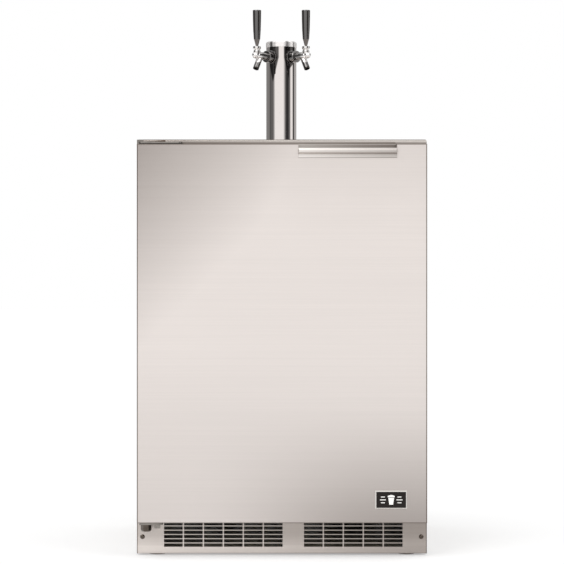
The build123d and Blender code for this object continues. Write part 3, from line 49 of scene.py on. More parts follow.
class Nodes:
    """Builds the nodes of one tree, which it empties first."""

    def __init__(self, tree):
        self.tree = tree
        self.tree.nodes.clear()

    def new(self, kind):
        """A node of the given kind."""
        return self.tree.nodes.new("ShaderNode" + kind)

    def plug(self, socket, value):
        """Link a socket to another, or set its value."""
        if isinstance(value, bpy.types.NodeSocket):
            self.tree.links.new(value, socket)
        elif isinstance(value, (tuple, list)) and len(value) == 3 and socket.type == "RGBA":
            socket.default_value = (*value, 1.0)
        else:
            socket.default_value = value

    def math(self, operation, *values):
        """One step of arithmetic on numbers or sockets."""
        node = self.new("Math")
        node.operation = operation
        for socket, value in zip(node.inputs, values):
            self.plug(socket, value)
        return node.outputs[0]

    def times(self, *values):
        """The product of numbers or sockets."""
        product = values[0]
        for value in values[1:]:
            product = self.math("MULTIPLY", product, value)
        return product

    def apart(self, first, second):
        """How far two numbers or sockets are from each other."""
        return self.math("ABSOLUTE", self.math("SUBTRACT", first, second))

    def split(self, vector):
        """The X, Y and Z of a vector."""
        node = self.new("SeparateXYZ")
        self.plug(node.inputs[0], vector)
        return node.outputs

    def turn(self, vector):
        """The vector's direction seen from above: nothing at the front, and growing to the right."""
        axes = self.split(vector)
        return self.math("ARCTAN2", axes["X"], self.times(axes["Y"], -1.0))

    def ramp(self, value, low, high, out_low=0.0, out_high=1.0, smooth=True):
        """Map a value from one range to another."""
        node = self.new("MapRange")
        node.interpolation_type = "SMOOTHSTEP" if smooth else "LINEAR"
        self.plug(node.inputs["Value"], value)
        limits = {"From Min": low, "From Max": high, "To Min": out_low, "To Max": out_high}
        for name, number in limits.items():
            self.plug(node.inputs[name], number)
        return node.outputs["Result"]

    def fade(self, value, reach, depth, power=1.0):
        """A shade that is deepest where the value is nothing and ends at its reach."""
        share = self.ramp(value, 0.0, reach, 1.0, 0.0, smooth=False)
        return self.times(self.math("POWER", share, power), depth)

    def mix(self, factor, first, second, blend="MIX"):
        """Blend two colours."""
        node = self.new("Mix")
        node.data_type = "RGBA"
        node.blend_type = blend
        self.plug(node.inputs[MIX_FACTOR], factor)
        self.plug(node.inputs[MIX_FIRST], first)
        self.plug(node.inputs[MIX_SECOND], second)
        return node.outputs[MIX_RESULT]


class Shader(Nodes):
    """One node-based material, with patterns that are placed in the shared frame."""

    def __init__(self, name):
        self.material = bpy.data.materials.new(name)
        self.material.use_nodes = True
        super().__init__(self.material.node_tree)
        self.surface = self.new("BsdfPrincipled")
        output = self.new("OutputMaterial")
        self.plug(output.inputs["Surface"], self.surface.outputs[0])
        self.place = self.new("TexCoord").outputs["Object"]

    def set(self, socket, value):
        """Give a socket of the surface a value or a link."""
        self.plug(self.surface.inputs[socket], value)

    def axis(self, letter):
        """One coordinate of the place on the object, in metres."""
        return self.split(self.place)[letter]

    def inside(self, letter, low, high):
        """How far the place is inside two limits of one axis."""
        place = self.axis(letter)
        near = self.math("SUBTRACT", place, low)
        far = self.math("SUBTRACT", high, place)
        return self.math("MINIMUM", near, far)

    def noise(self, scale, stretch=(1, 1, 1), detail=3.0, roughness=0.5):
        """Noise over the object, with its own scale along each axis."""
        mapping = self.new("Mapping")
        self.plug(mapping.inputs["Vector"], self.place)
        self.plug(mapping.inputs["Scale"], stretch)
        node = self.new("TexNoise")
        self.plug(node.inputs["Vector"], mapping.outputs[0])
        self.plug(node.inputs["Scale"], scale)
        self.plug(node.inputs["Detail"], detail)
        self.plug(node.inputs["Roughness"], roughness)
        return node.outputs["Fac"]

    def bump(self, height, distance, strength):
        """Raise the surface by a height pattern, in metres."""
        node = self.new("Bump")
        self.plug(node.inputs["Distance"], distance)
        self.plug(node.inputs["Strength"], strength)
        self.plug(node.inputs["Height"], height)
        self.set("Normal", node.outputs[0])

    def colour(self):
        """What drives the surface's colour so far."""
        return self.surface.inputs["Base Color"].links[0].from_socket

    def tint(self, factor):
        """Multiply the surface's colour by a number."""
        self.set("Base Color", self.mix(1.0, self.colour(), factor, blend="MULTIPLY"))


# Noise drawn out along one axis, for scratches that run that way.
GRAIN_STRETCH = {"x": (1.2, 260, 260), "z": (260, 260, 1.2)}
# How much of a streak comes from the fine noise; the broad noise gives the rest.
FINE_SHARE = 0.6


def brushed_metal(name, colour, grain, roughness, contrast=0.05):
    """Metal with fine parallel scratches along one axis and faint wipe marks."""
    shader = Shader(name)
    smudge = 0.04
    fine = shader.noise(5.0, GRAIN_STRETCH[grain], detail=4.0, roughness=0.7)
    broad = shader.noise(1.0, GRAIN_STRETCH[grain], detail=2.0)
    wipe = shader.noise(6.0, detail=4.0)
    streak = shader.math("ADD", shader.times(fine, FINE_SHARE), shader.times(broad, 1 - FINE_SHARE))
    darker = tuple(channel * (1 - 2 * contrast) for channel in colour)
    shader.set("Base Color", shader.mix(shader.ramp(streak, 0.35, 0.65, smooth=False), darker, colour))
    shader.set("Metallic", 1.0)
    rough = shader.ramp(streak, 0.3, 0.7, roughness - 0.05, roughness + 0.06, smooth=False)
    rough = shader.math("ADD", rough, shader.ramp(wipe, 0.45, 0.7, 0.0, smudge))
    shader.set("Roughness", rough)
    shader.bump(fine, distance=0.02 * MM, strength=0.5)
    return shader


STEEL = (0.812, 0.757, 0.728)
# The colour that painted shade on the steel fades towards.
PAINTED_SHADE_STEEL = (0.056, 0.033, 0.020)
# The power that turns brightness as the eye judges it into light.
EYE_POWER = 2.2


def tone(shader, level):
    """Paint shade onto the steel: darken it to a share of its full brightness, as the eye judges it."""
    share = shader.math("POWER", level, EYE_POWER)
    shader.set("Base Color", shader.mix(share, PAINTED_SHADE_STEEL, shader.colour()))


# How deep a flat front goes before its sides start.
FACE_DEPTH = 1.0 * MM


def painted_edge_shade(shader, node, width, side_strength, end_strength):
    """Painted dark edges: a share that drops along the outline of a flat front, and stays whole behind the
    front.
    """
    low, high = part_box(node)
    behind = shader.math("GREATER_THAN", shader.axis("Y"), low.y + FACE_DEPTH)
    sides = shader.ramp(shader.inside("X", low.x, high.x), 0.0, width, 1.0 - side_strength, 1.0)
    ends = shader.ramp(shader.inside("Z", low.z, high.z), 0.0, width, 1.0 - end_strength, 1.0)
    return shader.math("MAXIMUM", behind, shader.math("MINIMUM", sides, ends))


def door_steel():
    """The door's brushed face, with the broad soft shading of a studio painted onto it."""
    shader = brushed_metal("door_steel", STEEL, "x", roughness=0.34, contrast=0.022)
    low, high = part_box("door_skin")
    from_left = shader.math("SUBTRACT", shader.axis("X"), low.x)
    from_top = shader.math("SUBTRACT", high.z, shader.axis("Z"))
    from_bottom = shader.math("SUBTRACT", shader.axis("Z"), low.z)
    from_corner = shader.math("ADD", from_left, from_top)
    # Painted shade: darker towards the top left, along the top, along the bottom and to the lower right.
    top_left = shader.fade(from_corner, reach=430 * MM, depth=0.303, power=1.15)
    top = shader.fade(from_top, reach=190 * MM, depth=0.055, power=1.3)
    upper = shader.math("MAXIMUM", top_left, top)
    low_band = shader.fade(from_bottom, reach=357 * MM, depth=0.073)
    low_right = shader.fade(from_bottom, reach=250 * MM, depth=0.224, power=1.4)
    low_right = shader.times(low_right, shader.ramp(from_left, 100 * MM, 540 * MM))
    lower = shader.math("ADD", low_band, low_right)
    unshaded = 0.993
    level = shader.math("SUBTRACT", unshaded, shader.math("ADD", upper, lower))
    # Painted dark edges round the door's front.
    edges = painted_edge_shade(shader, "door_skin", width=2.8 * MM, side_strength=0.86, end_strength=0.45)
    tone(shader, shader.times(level, edges))
    return shader.material


def handle_steel():
    """The handle: a rolled lip in front of a pocket, with a painted highlight and painted shade."""
    # A lighter steel than the door's, for a painted highlight on the lip.
    shader = brushed_metal("handle_steel", (0.88, 0.83, 0.79), "x", roughness=0.3, contrast=0.02)
    low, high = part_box("door_handle")
    lip_top = low.z + 20.7 * MM
    # Painted shade: darker to the right, in the pocket, in a band across the lip's waist, at its foot and
    # at the edges.
    across = shader.ramp(shader.axis("X"), low.x, high.x, 1.0, 0.80, smooth=False)
    height = shader.axis("Z")
    pocket = shader.ramp(height, lip_top - 1.9 * MM, lip_top - 0.2 * MM, 1.0, 0.735)
    on_lip = shader.math("LESS_THAN", height, lip_top)
    pocket_right = shader.math("MAXIMUM", across, on_lip)
    foot = shader.ramp(height, low.z, low.z + 2.2 * MM, 0.80, 1.0)
    waist_level = low.z + 8.6 * MM
    waist = shader.ramp(shader.apart(height, waist_level), 0.0, 6.5 * MM, 0.85, 1.0)
    edges = painted_edge_shade(shader, "door_handle", width=1.6 * MM, side_strength=0.40, end_strength=0.25)
    tone(shader, shader.times(across, pocket, pocket_right, foot, waist, edges))
    return shader.material


def kick_steel():
    """The kick plate, with painted shade from the door above it and painted shade that darkens it to the
    right.
    """
    # A darker steel than the door's, for painted shade.
    shader = brushed_metal("kick_steel", (0.750, 0.692, 0.652), "x", 0.32)
    low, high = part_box("kick_plate")
    place, height = shader.axis("X"), shader.axis("Z")
    # Painted shade: darker to the right, in the upper half, under the door and at the edges; a painted
    # lighter strip below the slots, most on the left.
    across = shader.ramp(place, low.x, high.x, 0.955, 0.735, smooth=False)
    below_slots = shader.ramp(height, low.z + 14 * MM, low.z + 20 * MM, 1.0, 0.0)
    gain = shader.ramp(place, 0.0, high.x, 0.058, -0.015, smooth=False)
    across = shader.math("ADD", across, shader.times(below_slots, gain))
    upper_half = shader.ramp(height, high.z - 60 * MM, high.z - 34 * MM, 1.0, 0.90)
    under_door = shader.ramp(height, high.z - 9 * MM, high.z - 2 * MM, 1.0, 0.90)
    edges = painted_edge_shade(shader, "kick_plate", width=2.4 * MM, side_strength=0.75, end_strength=0.22)
    tone(shader, shader.times(across, upper_half, under_door, edges))
    return shader.material


def top_steel():
    """The top panel, with painted shade: its front edge darker over the gap above the door and over the
    handle's pocket, and a painted dark wedge of shade by the hinge.
    """
    # A darker steel than the door's, for painted shade.
    shader = brushed_metal("top_steel", (0.675, 0.635, 0.598), "x", 0.3)
    low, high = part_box("top_panel")
    place, height = shader.axis("X"), shader.axis("Z")
    # Painted shade: darker low over the gap, at the top of the rolled edge and to the left, and lighter to
    # the right.
    over_gap = shader.ramp(height, low.z + 0.5 * MM, low.z + 6.5 * MM, 0.58, 1.0, smooth=False)
    rolled = shader.ramp(height, high.z - 3.2 * MM, high.z - 0.6 * MM, 1.0, 0.50, smooth=False)
    left_half = shader.ramp(place, low.x, 0.0, 0.70, 0.93, smooth=False)
    right_half = shader.ramp(place, 0.0, high.x, 1.0, 1.085, smooth=False)
    handle_low, handle_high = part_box("door_handle")
    over_pocket = shader.ramp(place, handle_low.x, handle_high.x, 1.0, 0.84, smooth=False)
    past_pocket = shader.math("GREATER_THAN", place, handle_high.x)
    above_pocket = shader.math("GREATER_THAN", height, low.z + 5.0 * MM)
    over_pocket = shader.math("MAXIMUM", over_pocket, shader.math("MAXIMUM", past_pocket, above_pocket))
    # A painted dark wedge of shade beside the hinge bracket.
    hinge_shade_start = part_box("top_hinge_bracket")[0].x + 21 * MM
    hinge_shade_end = low.x + 60 * MM
    hinge_shade_level = shader.ramp(
        place, hinge_shade_start, hinge_shade_end, high.z - 6.2 * MM, high.z - 3.8 * MM, smooth=False
    )
    hinge_shade = shader.times(
        shader.ramp(shader.apart(height, hinge_shade_level), 1.1 * MM, 2.3 * MM, 1.0, 0.0),
        shader.ramp(place, hinge_shade_start - 4 * MM, hinge_shade_start + 6 * MM),
        shader.ramp(place, hinge_shade_end - 3 * MM, hinge_shade_end + 1 * MM, 1.0, 0.0),
    )
    in_hinge_shade = shader.ramp(hinge_shade, 0.0, 1.0, 1.0, 0.02, smooth=False)
    shade = shader.times(over_gap, rolled, left_half, right_half, over_pocket, in_hinge_shade)
    front = shader.math("LESS_THAN", shader.axis("Y"), low.y + 4.4 * MM)
    level = shader.ramp(front, 0.0, 1.0, 1.0, shade, smooth=False)
    tone(shader, level)
    return shader.material


def chrome(name, roughness, colour=(0.86, 0.85, 0.84)):
    """Polished plate with very faint haze."""
    shader = Shader(name)
    haze = shader.noise(40.0, detail=4.0)
    shader.set("Base Color", colour)
    shader.set("Metallic", 1.0)
    shader.set("Roughness", shader.ramp(haze, 0.4, 0.7, roughness - 0.02, roughness + 0.05))
    return shader.material


def tower_polish():
    """The mirror of the tower, with painted dark reflections of the roots of the two taps."""
    shader = Shader("tower_polish")
    haze = shader.noise(40.0, detail=4.0)
    shader.set("Base Color", shader.mix(haze, (0.83, 0.79, 0.775), (0.80, 0.76, 0.745)))
    shader.set("Metallic", 1.0)
    shader.set("Roughness", shader.ramp(haze, 0.4, 0.7, 0.025, 0.09))
    turn = shader.turn(shader.place)
    off_front = shader.math("ABSOLUTE", turn)
    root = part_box("coupling_nuts")[0].z
    height = shader.axis("Z")
    # Each painted dark reflection is a wedge between an inner and an outer direction, which part as it
    # rises to the tap's root.
    inner = shader.ramp(
        height, root - 42 * MM, root + 12 * MM, math.radians(33), math.radians(10), smooth=False
    )
    left_outer = shader.ramp(
        height, root - 42 * MM, root - 5 * MM, math.radians(34), math.radians(50), smooth=False
    )
    right_outer = shader.ramp(
        height, root - 14 * MM, root + 6 * MM, math.radians(31), math.radians(62), smooth=False
    )
    on_left = shader.math("LESS_THAN", turn, 0.0)
    outer = shader.ramp(on_left, 0.0, 1.0, right_outer, left_outer, smooth=False)
    soft = math.radians(2.5)
    past_inner = shader.ramp(shader.math("SUBTRACT", off_front, inner), -soft, soft)
    before_outer = shader.ramp(shader.math("SUBTRACT", outer, off_front), -soft, soft)
    reflection_wedge = shader.times(past_inner, before_outer)
    shader.tint(shader.ramp(reflection_wedge, 0.0, 1.0, 1.0, 0.12, smooth=False))
    return shader.material


# Painted dark reflections round the cap, as stripes: direction and half width in degrees, and depth.
CAP_PAINTED_REFLECTIONS = [(-41, 11, 0.95), (22, 13, 0.74), (52, 6, 0.60), (-75, 8, 0.25)]


def cap_polish():
    """The cap's satin plate: pale, with soft dark stripes of painted reflection of the room, kept off its
    crown.
    """
    shader = Shader("cap_polish")
    haze = shader.noise(60.0, detail=4.0)
    turn = shader.turn(shader.place)
    stripes = []
    # Each painted reflection darkens the plate round one direction.
    for degrees, half_width, depth in CAP_PAINTED_REFLECTIONS:
        away = shader.apart(turn, math.radians(degrees))
        stripes.append(shader.ramp(away, 0.0, math.radians(half_width), 1.0 - depth, 1.0))
    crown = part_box("tower_cap")[1].z
    on_crown = shader.ramp(shader.axis("Z"), crown - 2 * MM, crown, 0.0, 1.0)
    level = shader.math("MAXIMUM", shader.times(*stripes), on_crown)
    shader.set("Base Color", shader.mix(level, (0.03, 0.026, 0.024), (0.90, 0.875, 0.865)))
    shader.set("Metallic", 0.45)
    shader.set("Roughness", shader.ramp(haze, 0.4, 0.7, 0.14, 0.22))
    return shader.material


SPOUT_RADIUS = 6.4 * MM
# How far the spout's mouth is from the tower's axis.
SPOUT_REACH = 87.0 * MM
SPOUT_LEAN = math.radians(28.5)


def tap_polish():
    """Polished fittings with painted reflections: dark at their roots and low on their bodies, bright at
    their noses, with a painted dark mouth and a painted highlight along their tops.
    """
    shader = Shader("tap_polish")
    haze = shader.noise(40.0, detail=4.0)
    across = shader.times(shader.axis("X"), shader.axis("X"))
    along = shader.times(shader.axis("Y"), shader.axis("Y"))
    reach = shader.math("SQRT", shader.math("ADD", across, along))
    # Painted reflection: dim near the tower, bright at the nose, dark low on the body.
    nose = shader.ramp(reach, 70 * MM, 80 * MM, 0.24, 0.80)
    root = shader.ramp(reach, 42 * MM, 60 * MM, 0.40, 1.0)
    height = shader.axis("Z")
    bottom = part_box("faucet_bodies")[0].z
    above_spout = shader.ramp(height, bottom + 16 * MM, bottom + 22 * MM, 0.11, 1.0)
    # A painted dark mouth: shade inside the spout.
    mouth_level = bottom + SPOUT_RADIUS * math.sin(SPOUT_LEAN)
    past = shader.times(shader.math("SUBTRACT", reach, SPOUT_REACH), math.sin(SPOUT_LEAN))
    drop = shader.times(shader.math("SUBTRACT", mouth_level, height), math.cos(SPOUT_LEAN))
    mouth = shader.ramp(shader.math("ADD", past, drop), -2.6 * MM, -1.6 * MM, 1.0, 0.02)
    above_mouth = shader.math("GREATER_THAN", height, bottom + 12 * MM)
    mouth = shader.math("MAXIMUM", mouth, above_mouth)
    bright = shader.times(shader.math("MINIMUM", shader.times(nose, root), above_spout), mouth)
    # A painted highlight where the surface faces up.
    facing = shader.split(shader.new("NewGeometry").outputs["Normal"])
    top_highlight = shader.ramp(facing["Z"], 0.55, 0.85, 0.0, 0.55)
    share = shader.math("MAXIMUM", bright, top_highlight)
    shader.set("Base Color", shader.mix(share, (0.02, 0.017, 0.015), (0.95, 0.93, 0.92)))
    shader.set("Metallic", 1.0)
    shader.set("Roughness", shader.ramp(haze, 0.4, 0.7, 0.05, 0.12))
    return shader.material


def plastic(name, colour, roughness, grain=0.02 * MM, grain_scale=1500.0):
    """Moulded plastic or paint with a fine surface grain and slight tone change."""
    shader = Shader(name)
    spots = shader.noise(grain_scale, detail=2.0)
    patches = shader.noise(9.0, detail=3.0)
    lighter = tuple(min(1.0, channel * 1.03 + 0.003) for channel in colour)
    shader.set("Base Color", shader.mix(shader.ramp(patches, 0.4, 0.7), colour, lighter))
    shader.set("Roughness", shader.ramp(patches, 0.3, 0.7, roughness - 0.04, roughness + 0.06))
    shader.bump(spots, distance=grain, strength=0.6)
    return shader.material


def lacquer(name, colour):
    """Deep glossy lacquer that mirrors the room."""
    shader = Shader(name)
    patches = shader.noise(20.0, detail=3.0)
    lighter = tuple(channel * 1.6 for channel in colour)
    shader.set("Base Color", shader.mix(patches, colour, lighter))
    shader.set("Roughness", shader.ramp(patches, 0.3, 0.7, 0.06, 0.10))
    shader.set("IOR", 2.2)
    return shader.material


def foam(colour):
    """Blown insulation: pale and pitted."""
    shader = Shader("foam")
    cells = shader.noise(420.0, detail=5.0, roughness=0.65)
    darker = tuple(channel * 0.82 for channel in colour)
    shader.set("Base Color", shader.mix(shader.ramp(cells, 0.4, 0.6), darker, colour))
    shader.set("Roughness", 0.85)
    shader.bump(cells, distance=0.4 * MM, strength=0.8)
    return shader.material


def rubber(name, colour):
    """Soft dark rubber with a matt bloom."""
    shader = Shader(name)
    bloom = shader.noise(30.0, detail=5.0)
    lighter = tuple(channel + 0.03 for channel in colour)
    shader.set("Base Color", shader.mix(shader.ramp(bloom, 0.45, 0.75), colour, lighter))
    shader.set("Roughness", shader.ramp(bloom, 0.3, 0.7, 0.62, 0.8))
    shader.bump(bloom, distance=0.1 * MM, strength=0.4)
    return shader.material


# How far the seal's two folds lie inside its outline.
FOLD_DEPTHS = (3.4 * MM, 10.6 * MM)


def gasket_rubber():
    """The door seal's soft rubber, with a fold on each side of its magnet, darkened by painted shade."""
    shader = Shader("gasket_rubber")
    low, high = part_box("door_gasket")
    inward = shader.math("MINIMUM", shader.inside("X", low.x, high.x), shader.inside("Z", low.z, high.z))
    bloom = shader.noise(30.0, detail=5.0)
    from_folds = [shader.apart(inward, depth) for depth in FOLD_DEPTHS]
    folds = shader.ramp(shader.math("MINIMUM", *from_folds), 0.2 * MM, 0.8 * MM)
    grey = shader.mix(shader.ramp(bloom, 0.45, 0.75), (0.16, 0.16, 0.165), (0.19, 0.19, 0.195))
    # Painted shade in the folds.
    shader.set("Base Color", shader.mix(folds, (0.03, 0.03, 0.03), grey))
    shader.set("Roughness", shader.ramp(bloom, 0.3, 0.7, 0.62, 0.8))
    shader.bump(folds, distance=0.6 * MM, strength=0.6)
    return shader.material


def galvanised():
    """Zinc-coated sheet with its spangle."""
    shader = Shader("zinc_sheet")
    crystals = shader.new("TexVoronoi")
    shader.plug(crystals.inputs["Vector"], shader.place)
    shader.plug(crystals.inputs["Scale"], 90.0)
    rings = 7.0
    spangle = shader.math("FRACT", shader.times(crystals.outputs["Distance"], rings))
    shader.set("Base Color", shader.mix(spangle, (0.50, 0.51, 0.52), (0.62, 0.63, 0.64)))
    shader.set("Metallic", 0.9)
    shader.set("Roughness", shader.ramp(spangle, 0.0, 1.0, 0.32, 0.48))
    return shader.material


def metal(name, colour, roughness):
    """Plain machined or drawn metal with slight tarnish."""
    shader = Shader(name)
    tarnish = shader.noise(55.0, detail=5.0)
    darker = tuple(channel * 0.78 for channel in colour)
    shader.set("Base Color", shader.mix(shader.ramp(tarnish, 0.45, 0.75), colour, darker))
    shader.set("Metallic", 1.0)
    shader.set("Roughness", shader.ramp(tarnish, 0.3, 0.7, roughness - 0.05, roughness + 0.08))
    return shader.material


def clear_tube(name, colour):
    """Soft see-through hose, tinted by what it carries."""
    shader = Shader(name)
    shader.set("Base Color", colour)
    shader.set("Roughness", 0.12)
    shader.set("Coat Weight", 0.6)
    shader.set("Subsurface Weight", 0.15)
    shader.set("Subsurface Scale", 0.01)
    return shader.material


def badge_finish():
    """Dark enamel inside a bright bevelled frame, told apart by the distance from the badge's centre."""
    shader = Shader("badge_finish")
    low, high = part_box("badge")
    middle = (low + high) / 2
    half = (high - low) / 2
    rim = 2.6 * MM
    across = shader.apart(shader.axis("X"), middle.x)
    upward = shader.apart(shader.axis("Z"), middle.z)
    beyond_x = shader.math("GREATER_THAN", across, half.x - rim)
    beyond_z = shader.math("GREATER_THAN", upward, half.z - rim)
    frame_part = shader.math("MAXIMUM", beyond_x, beyond_z)
    shader.set("Base Color", shader.mix(frame_part, (0.010, 0.007, 0.006), (0.70, 0.67, 0.64)))
    shader.set("Specular IOR Level", 0.22)
    shader.set("Metallic", frame_part)
    shader.set("Roughness", shader.ramp(frame_part, 0, 1, 0.3, 0.16))
    return shader.material


def dress(material, *names):
    """Give a material to CAD nodes."""
    for name in names:
        mesh = NODES[name].data
        mesh.materials.clear()
        mesh.materials.append(material)


# ------------------------------------------------------------------ carried-over CAD nodes

SIDE_STEEL = (0.66, 0.635, 0.61)

dress(door_steel(), "door_skin")
dress(handle_steel(), "door_handle")
dress(kick_steel(), "kick_plate")
dress(top_steel(), "top_panel")
dress(brushed_metal("tray_steel", SIDE_STEEL, "x", 0.3).material, "drip_tray", "drip_grid")
dress(brushed_metal("side_steel", SIDE_STEEL, "z", 0.34, contrast=0.035).material, "cabinet_shell")
dress(brushed_metal("liner_steel", (0.70, 0.69, 0.68), "z", 0.36).material, "inner_liner")
dress(tower_polish(), "tower_column")
dress(cap_polish(), "tower_cap")
dress(chrome("ferrule_polish", 0.12, (0.15, 0.135, 0.125)), "left_tap_lever", "right_tap_lever")
dress(
    chrome("fitting_polish", 0.07),
    "faucet_bonnets",
    "coupler_bodies",
    "left_coupler_probe",
    "right_coupler_probe",
    "pressure_gauges",
)
dress(tap_polish(), "coupling_nuts", "faucet_bodies", "faucet_shanks")
# A dark steel: painted shade on the hinge brackets.
dress(
    metal("hinge_steel", (0.27, 0.25, 0.23), 0.3),
    "top_hinge_bracket",
    "bottom_hinge_bracket",
    "left_valve_shaft",
    "right_valve_shaft",
)
# A very dark steel: painted shade in the screw sockets and on the hinge pins.
dress(metal("screw_steel", (0.115, 0.095, 0.08), 0.26), "cabinet_screws", "hinge_pins")
dress(lacquer("black_gloss", (0.010, 0.008, 0.007)), "left_tap_handle", "right_tap_handle")
dress(
    plastic("black_grip", (0.018, 0.018, 0.018), 0.36),
    "left_coupler_handle",
    "right_coupler_handle",
    "cylinder_handwheel",
    "regulator_knob",
    "temperature_knob",
)
dress(
    plastic("compressor_paint", (0.02, 0.02, 0.021), 0.3, grain=0.1 * MM, grain_scale=300.0),
    "compressor",
)
dress(plastic("fan_plastic", (0.025, 0.025, 0.027), 0.45), "condenser_fan_frame")
dress(plastic("fan_blade", (0.035, 0.035, 0.038), 0.4), "condenser_fan_blades", "evaporator_fan_blades")
dress(plastic("white_plastic", (0.74, 0.75, 0.75), 0.36, grain=0.03 * MM), "evaporator_cover", "door_liner")
dress(plastic("nylon", (0.78, 0.77, 0.73), 0.4), "hinge_bushes")
dress(foam((0.80, 0.72, 0.50)), "cabinet_insulation", "door_insulation")
dress(gasket_rubber(), "door_gasket")
dress(
    rubber("black_rubber", (0.018, 0.018, 0.018)),
    "compressor_mounts",
    "power_cord",
    "front_left_foot",
    "front_right_foot",
    "rear_left_foot",
    "rear_right_foot",
)
dress(galvanised(), "base_frame", "rear_cover")
dress(metal("coil_fins", (0.74, 0.75, 0.76), 0.38), "condenser_coil", "evaporator_coil")
dress(metal("copper", (0.72, 0.38, 0.24), 0.28), "refrigerant_lines")
dress(metal("brass", (0.78, 0.60, 0.30), 0.25), "cylinder_valve", "regulator")
dress(brushed_metal("cylinder_metal", (0.70, 0.71, 0.72), "z", 0.34).material, "gas_cylinder")
dress(clear_tube("beer_hose", (0.82, 0.72, 0.44)), "beer_lines")
dress(clear_tube("gas_hose", (0.55, 0.05, 0.04)), "gas_lines")
dress(badge_finish(), "badge")


# ------------------------------------------------------------------ pieces made here

def piece(name, mesh, material, body):
    """Put a finished mesh into the scene on one body."""
    made = bpy.data.objects.new(name, mesh)
    bpy.context.scene.collection.objects.link(made)
    mesh.materials.append(material)
    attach(made, body)


def prism(outline, depth, bevel=0.0):
    """A mesh of a flat outline in XZ, pushed forward along -Y."""
    work = bmesh.new()
    corners = [work.verts.new((x, 0, z)) for x, z in outline]
    face = work.faces.new(corners)
    pushed = bmesh.ops.extrude_face_region(work, geom=[face])
    moved = [v for v in pushed["geom"] if isinstance(v, bmesh.types.BMVert)]
    bmesh.ops.translate(work, verts=moved, vec=(0, -depth, 0))
    bmesh.ops.recalc_face_normals(work, faces=work.faces)
    if bevel:
        rim = [e for e in work.edges if all(v in moved for v in e.verts)]
        bmesh.ops.bevel(work, geom=rim, offset=bevel, segments=2, affect="EDGES")
    mesh = bpy.data.meshes.new("prism")
    work.to_mesh(mesh)
    work.free()
    return mesh


def join(meshes_and_places):
    """One mesh from several, each moved to its place."""
    work = bmesh.new()
    for mesh, place in meshes_and_places:
        copy = mesh.copy()
        copy.transform(place)
        work.from_mesh(copy)
        bpy.data.meshes.remove(copy)
    mesh = bpy.data.meshes.new("joined")
    work.to_mesh(mesh)
    work.free()
    return mesh


def disc(radius, steps=64):
    """The outline of a circle in XZ."""
    return [
        (radius * math.cos(math.tau * step / steps), radius * math.sin(math.tau * step / steps))
        for step in range(steps)
    ]


def bar(half_width, low, high):
    """The outline of an upright bar in XZ."""
    return [(-half_width, low), (half_width, low), (half_width, high), (-half_width, high)]


def turned(degrees):
    """A turn about Y, clockwise as seen from the front."""
    return Matrix.Rotation(math.radians(degrees), 4, "Y")


def rounded_bar(length, height, corner):
    """The outline of a bar in XZ with round corners."""
    steps = 8
    points = []
    for sign_x, sign_z, start in ((1, 1, 0), (-1, 1, 90), (-1, -1, 180), (1, -1, 270)):
        centre_x = sign_x * (length / 2 - corner)
        centre_z = sign_z * (height / 2 - corner)
        for step in range(steps + 1):
            angle = math.radians(start + 90 * step / steps)
            points.append((centre_x + corner * math.cos(angle), centre_z + corner * math.sin(angle)))
    return points


def badge_emblem():
    """A generic beer glass, raised in white on the badge."""
    low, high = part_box("badge")
    middle = (low + high) / 2
    face = low.y + 0.9 * MM
    size = (high.z - low.z) * 0.52
    foot, brim, crown = size * 0.20, size * 0.30, size * 0.36
    glass = [(-foot, -size / 2), (foot, -size / 2), (brim, size * 0.22), (-brim, size * 0.22)]
    # The foam's outline has three bumps.
    head_bottom, head_middle, head_rise = size * 0.27, size * 0.30, size * 0.20
    steps = 24
    head = [(-crown, head_bottom), (crown, head_bottom)]
    for step in range(steps + 1):
        angle = math.pi * step / steps
        wave = 1 + 0.10 * abs(math.sin(angle * 3))
        head.append((crown * math.cos(angle) * wave, head_middle + head_rise * math.sin(angle) * wave))
    depth, edge = 0.5 * MM, 0.1 * MM
    whites = [(prism(glass, depth, edge), Matrix()), (prism(head, depth, edge), Matrix())]
    stripe_shift, stripe_half_height = size * 0.86, size * 0.045
    stripes = [(0.30, 0.42), (0.0, 0.62), (-0.30, 0.42)]
    for shift in (-stripe_shift, stripe_shift):
        for line, length in stripes:
            outline = bar(size * length / 2, -stripe_half_height, stripe_half_height)
            place = Matrix.Translation((shift, 0, size * line))
            whites.append((prism(outline, depth, edge), place))
    mesh = join(whites)
    mesh.transform(Matrix.Translation((middle.x, face, middle.z)))
    white = plastic("badge_white", (0.86, 0.85, 0.83), 0.3, grain=0.0)
    piece("badge_emblem", mesh, white, "door")


def scale_marks():
    """The marks of a gauge's dial, clockwise from its lowest reading, every fifth one longer."""
    count, spread = 21, 135
    long_start, short_start, outer = 11.5 * MM, 12.985 * MM, 14.8 * MM
    marks = []
    for index in range(count):
        angle = -spread + 2 * spread * index / (count - 1)
        start = short_start if index % 5 else long_start
        marks.append((prism(bar(0.22 * MM, start, outer), 0.12 * MM), turned(angle)))
    return marks


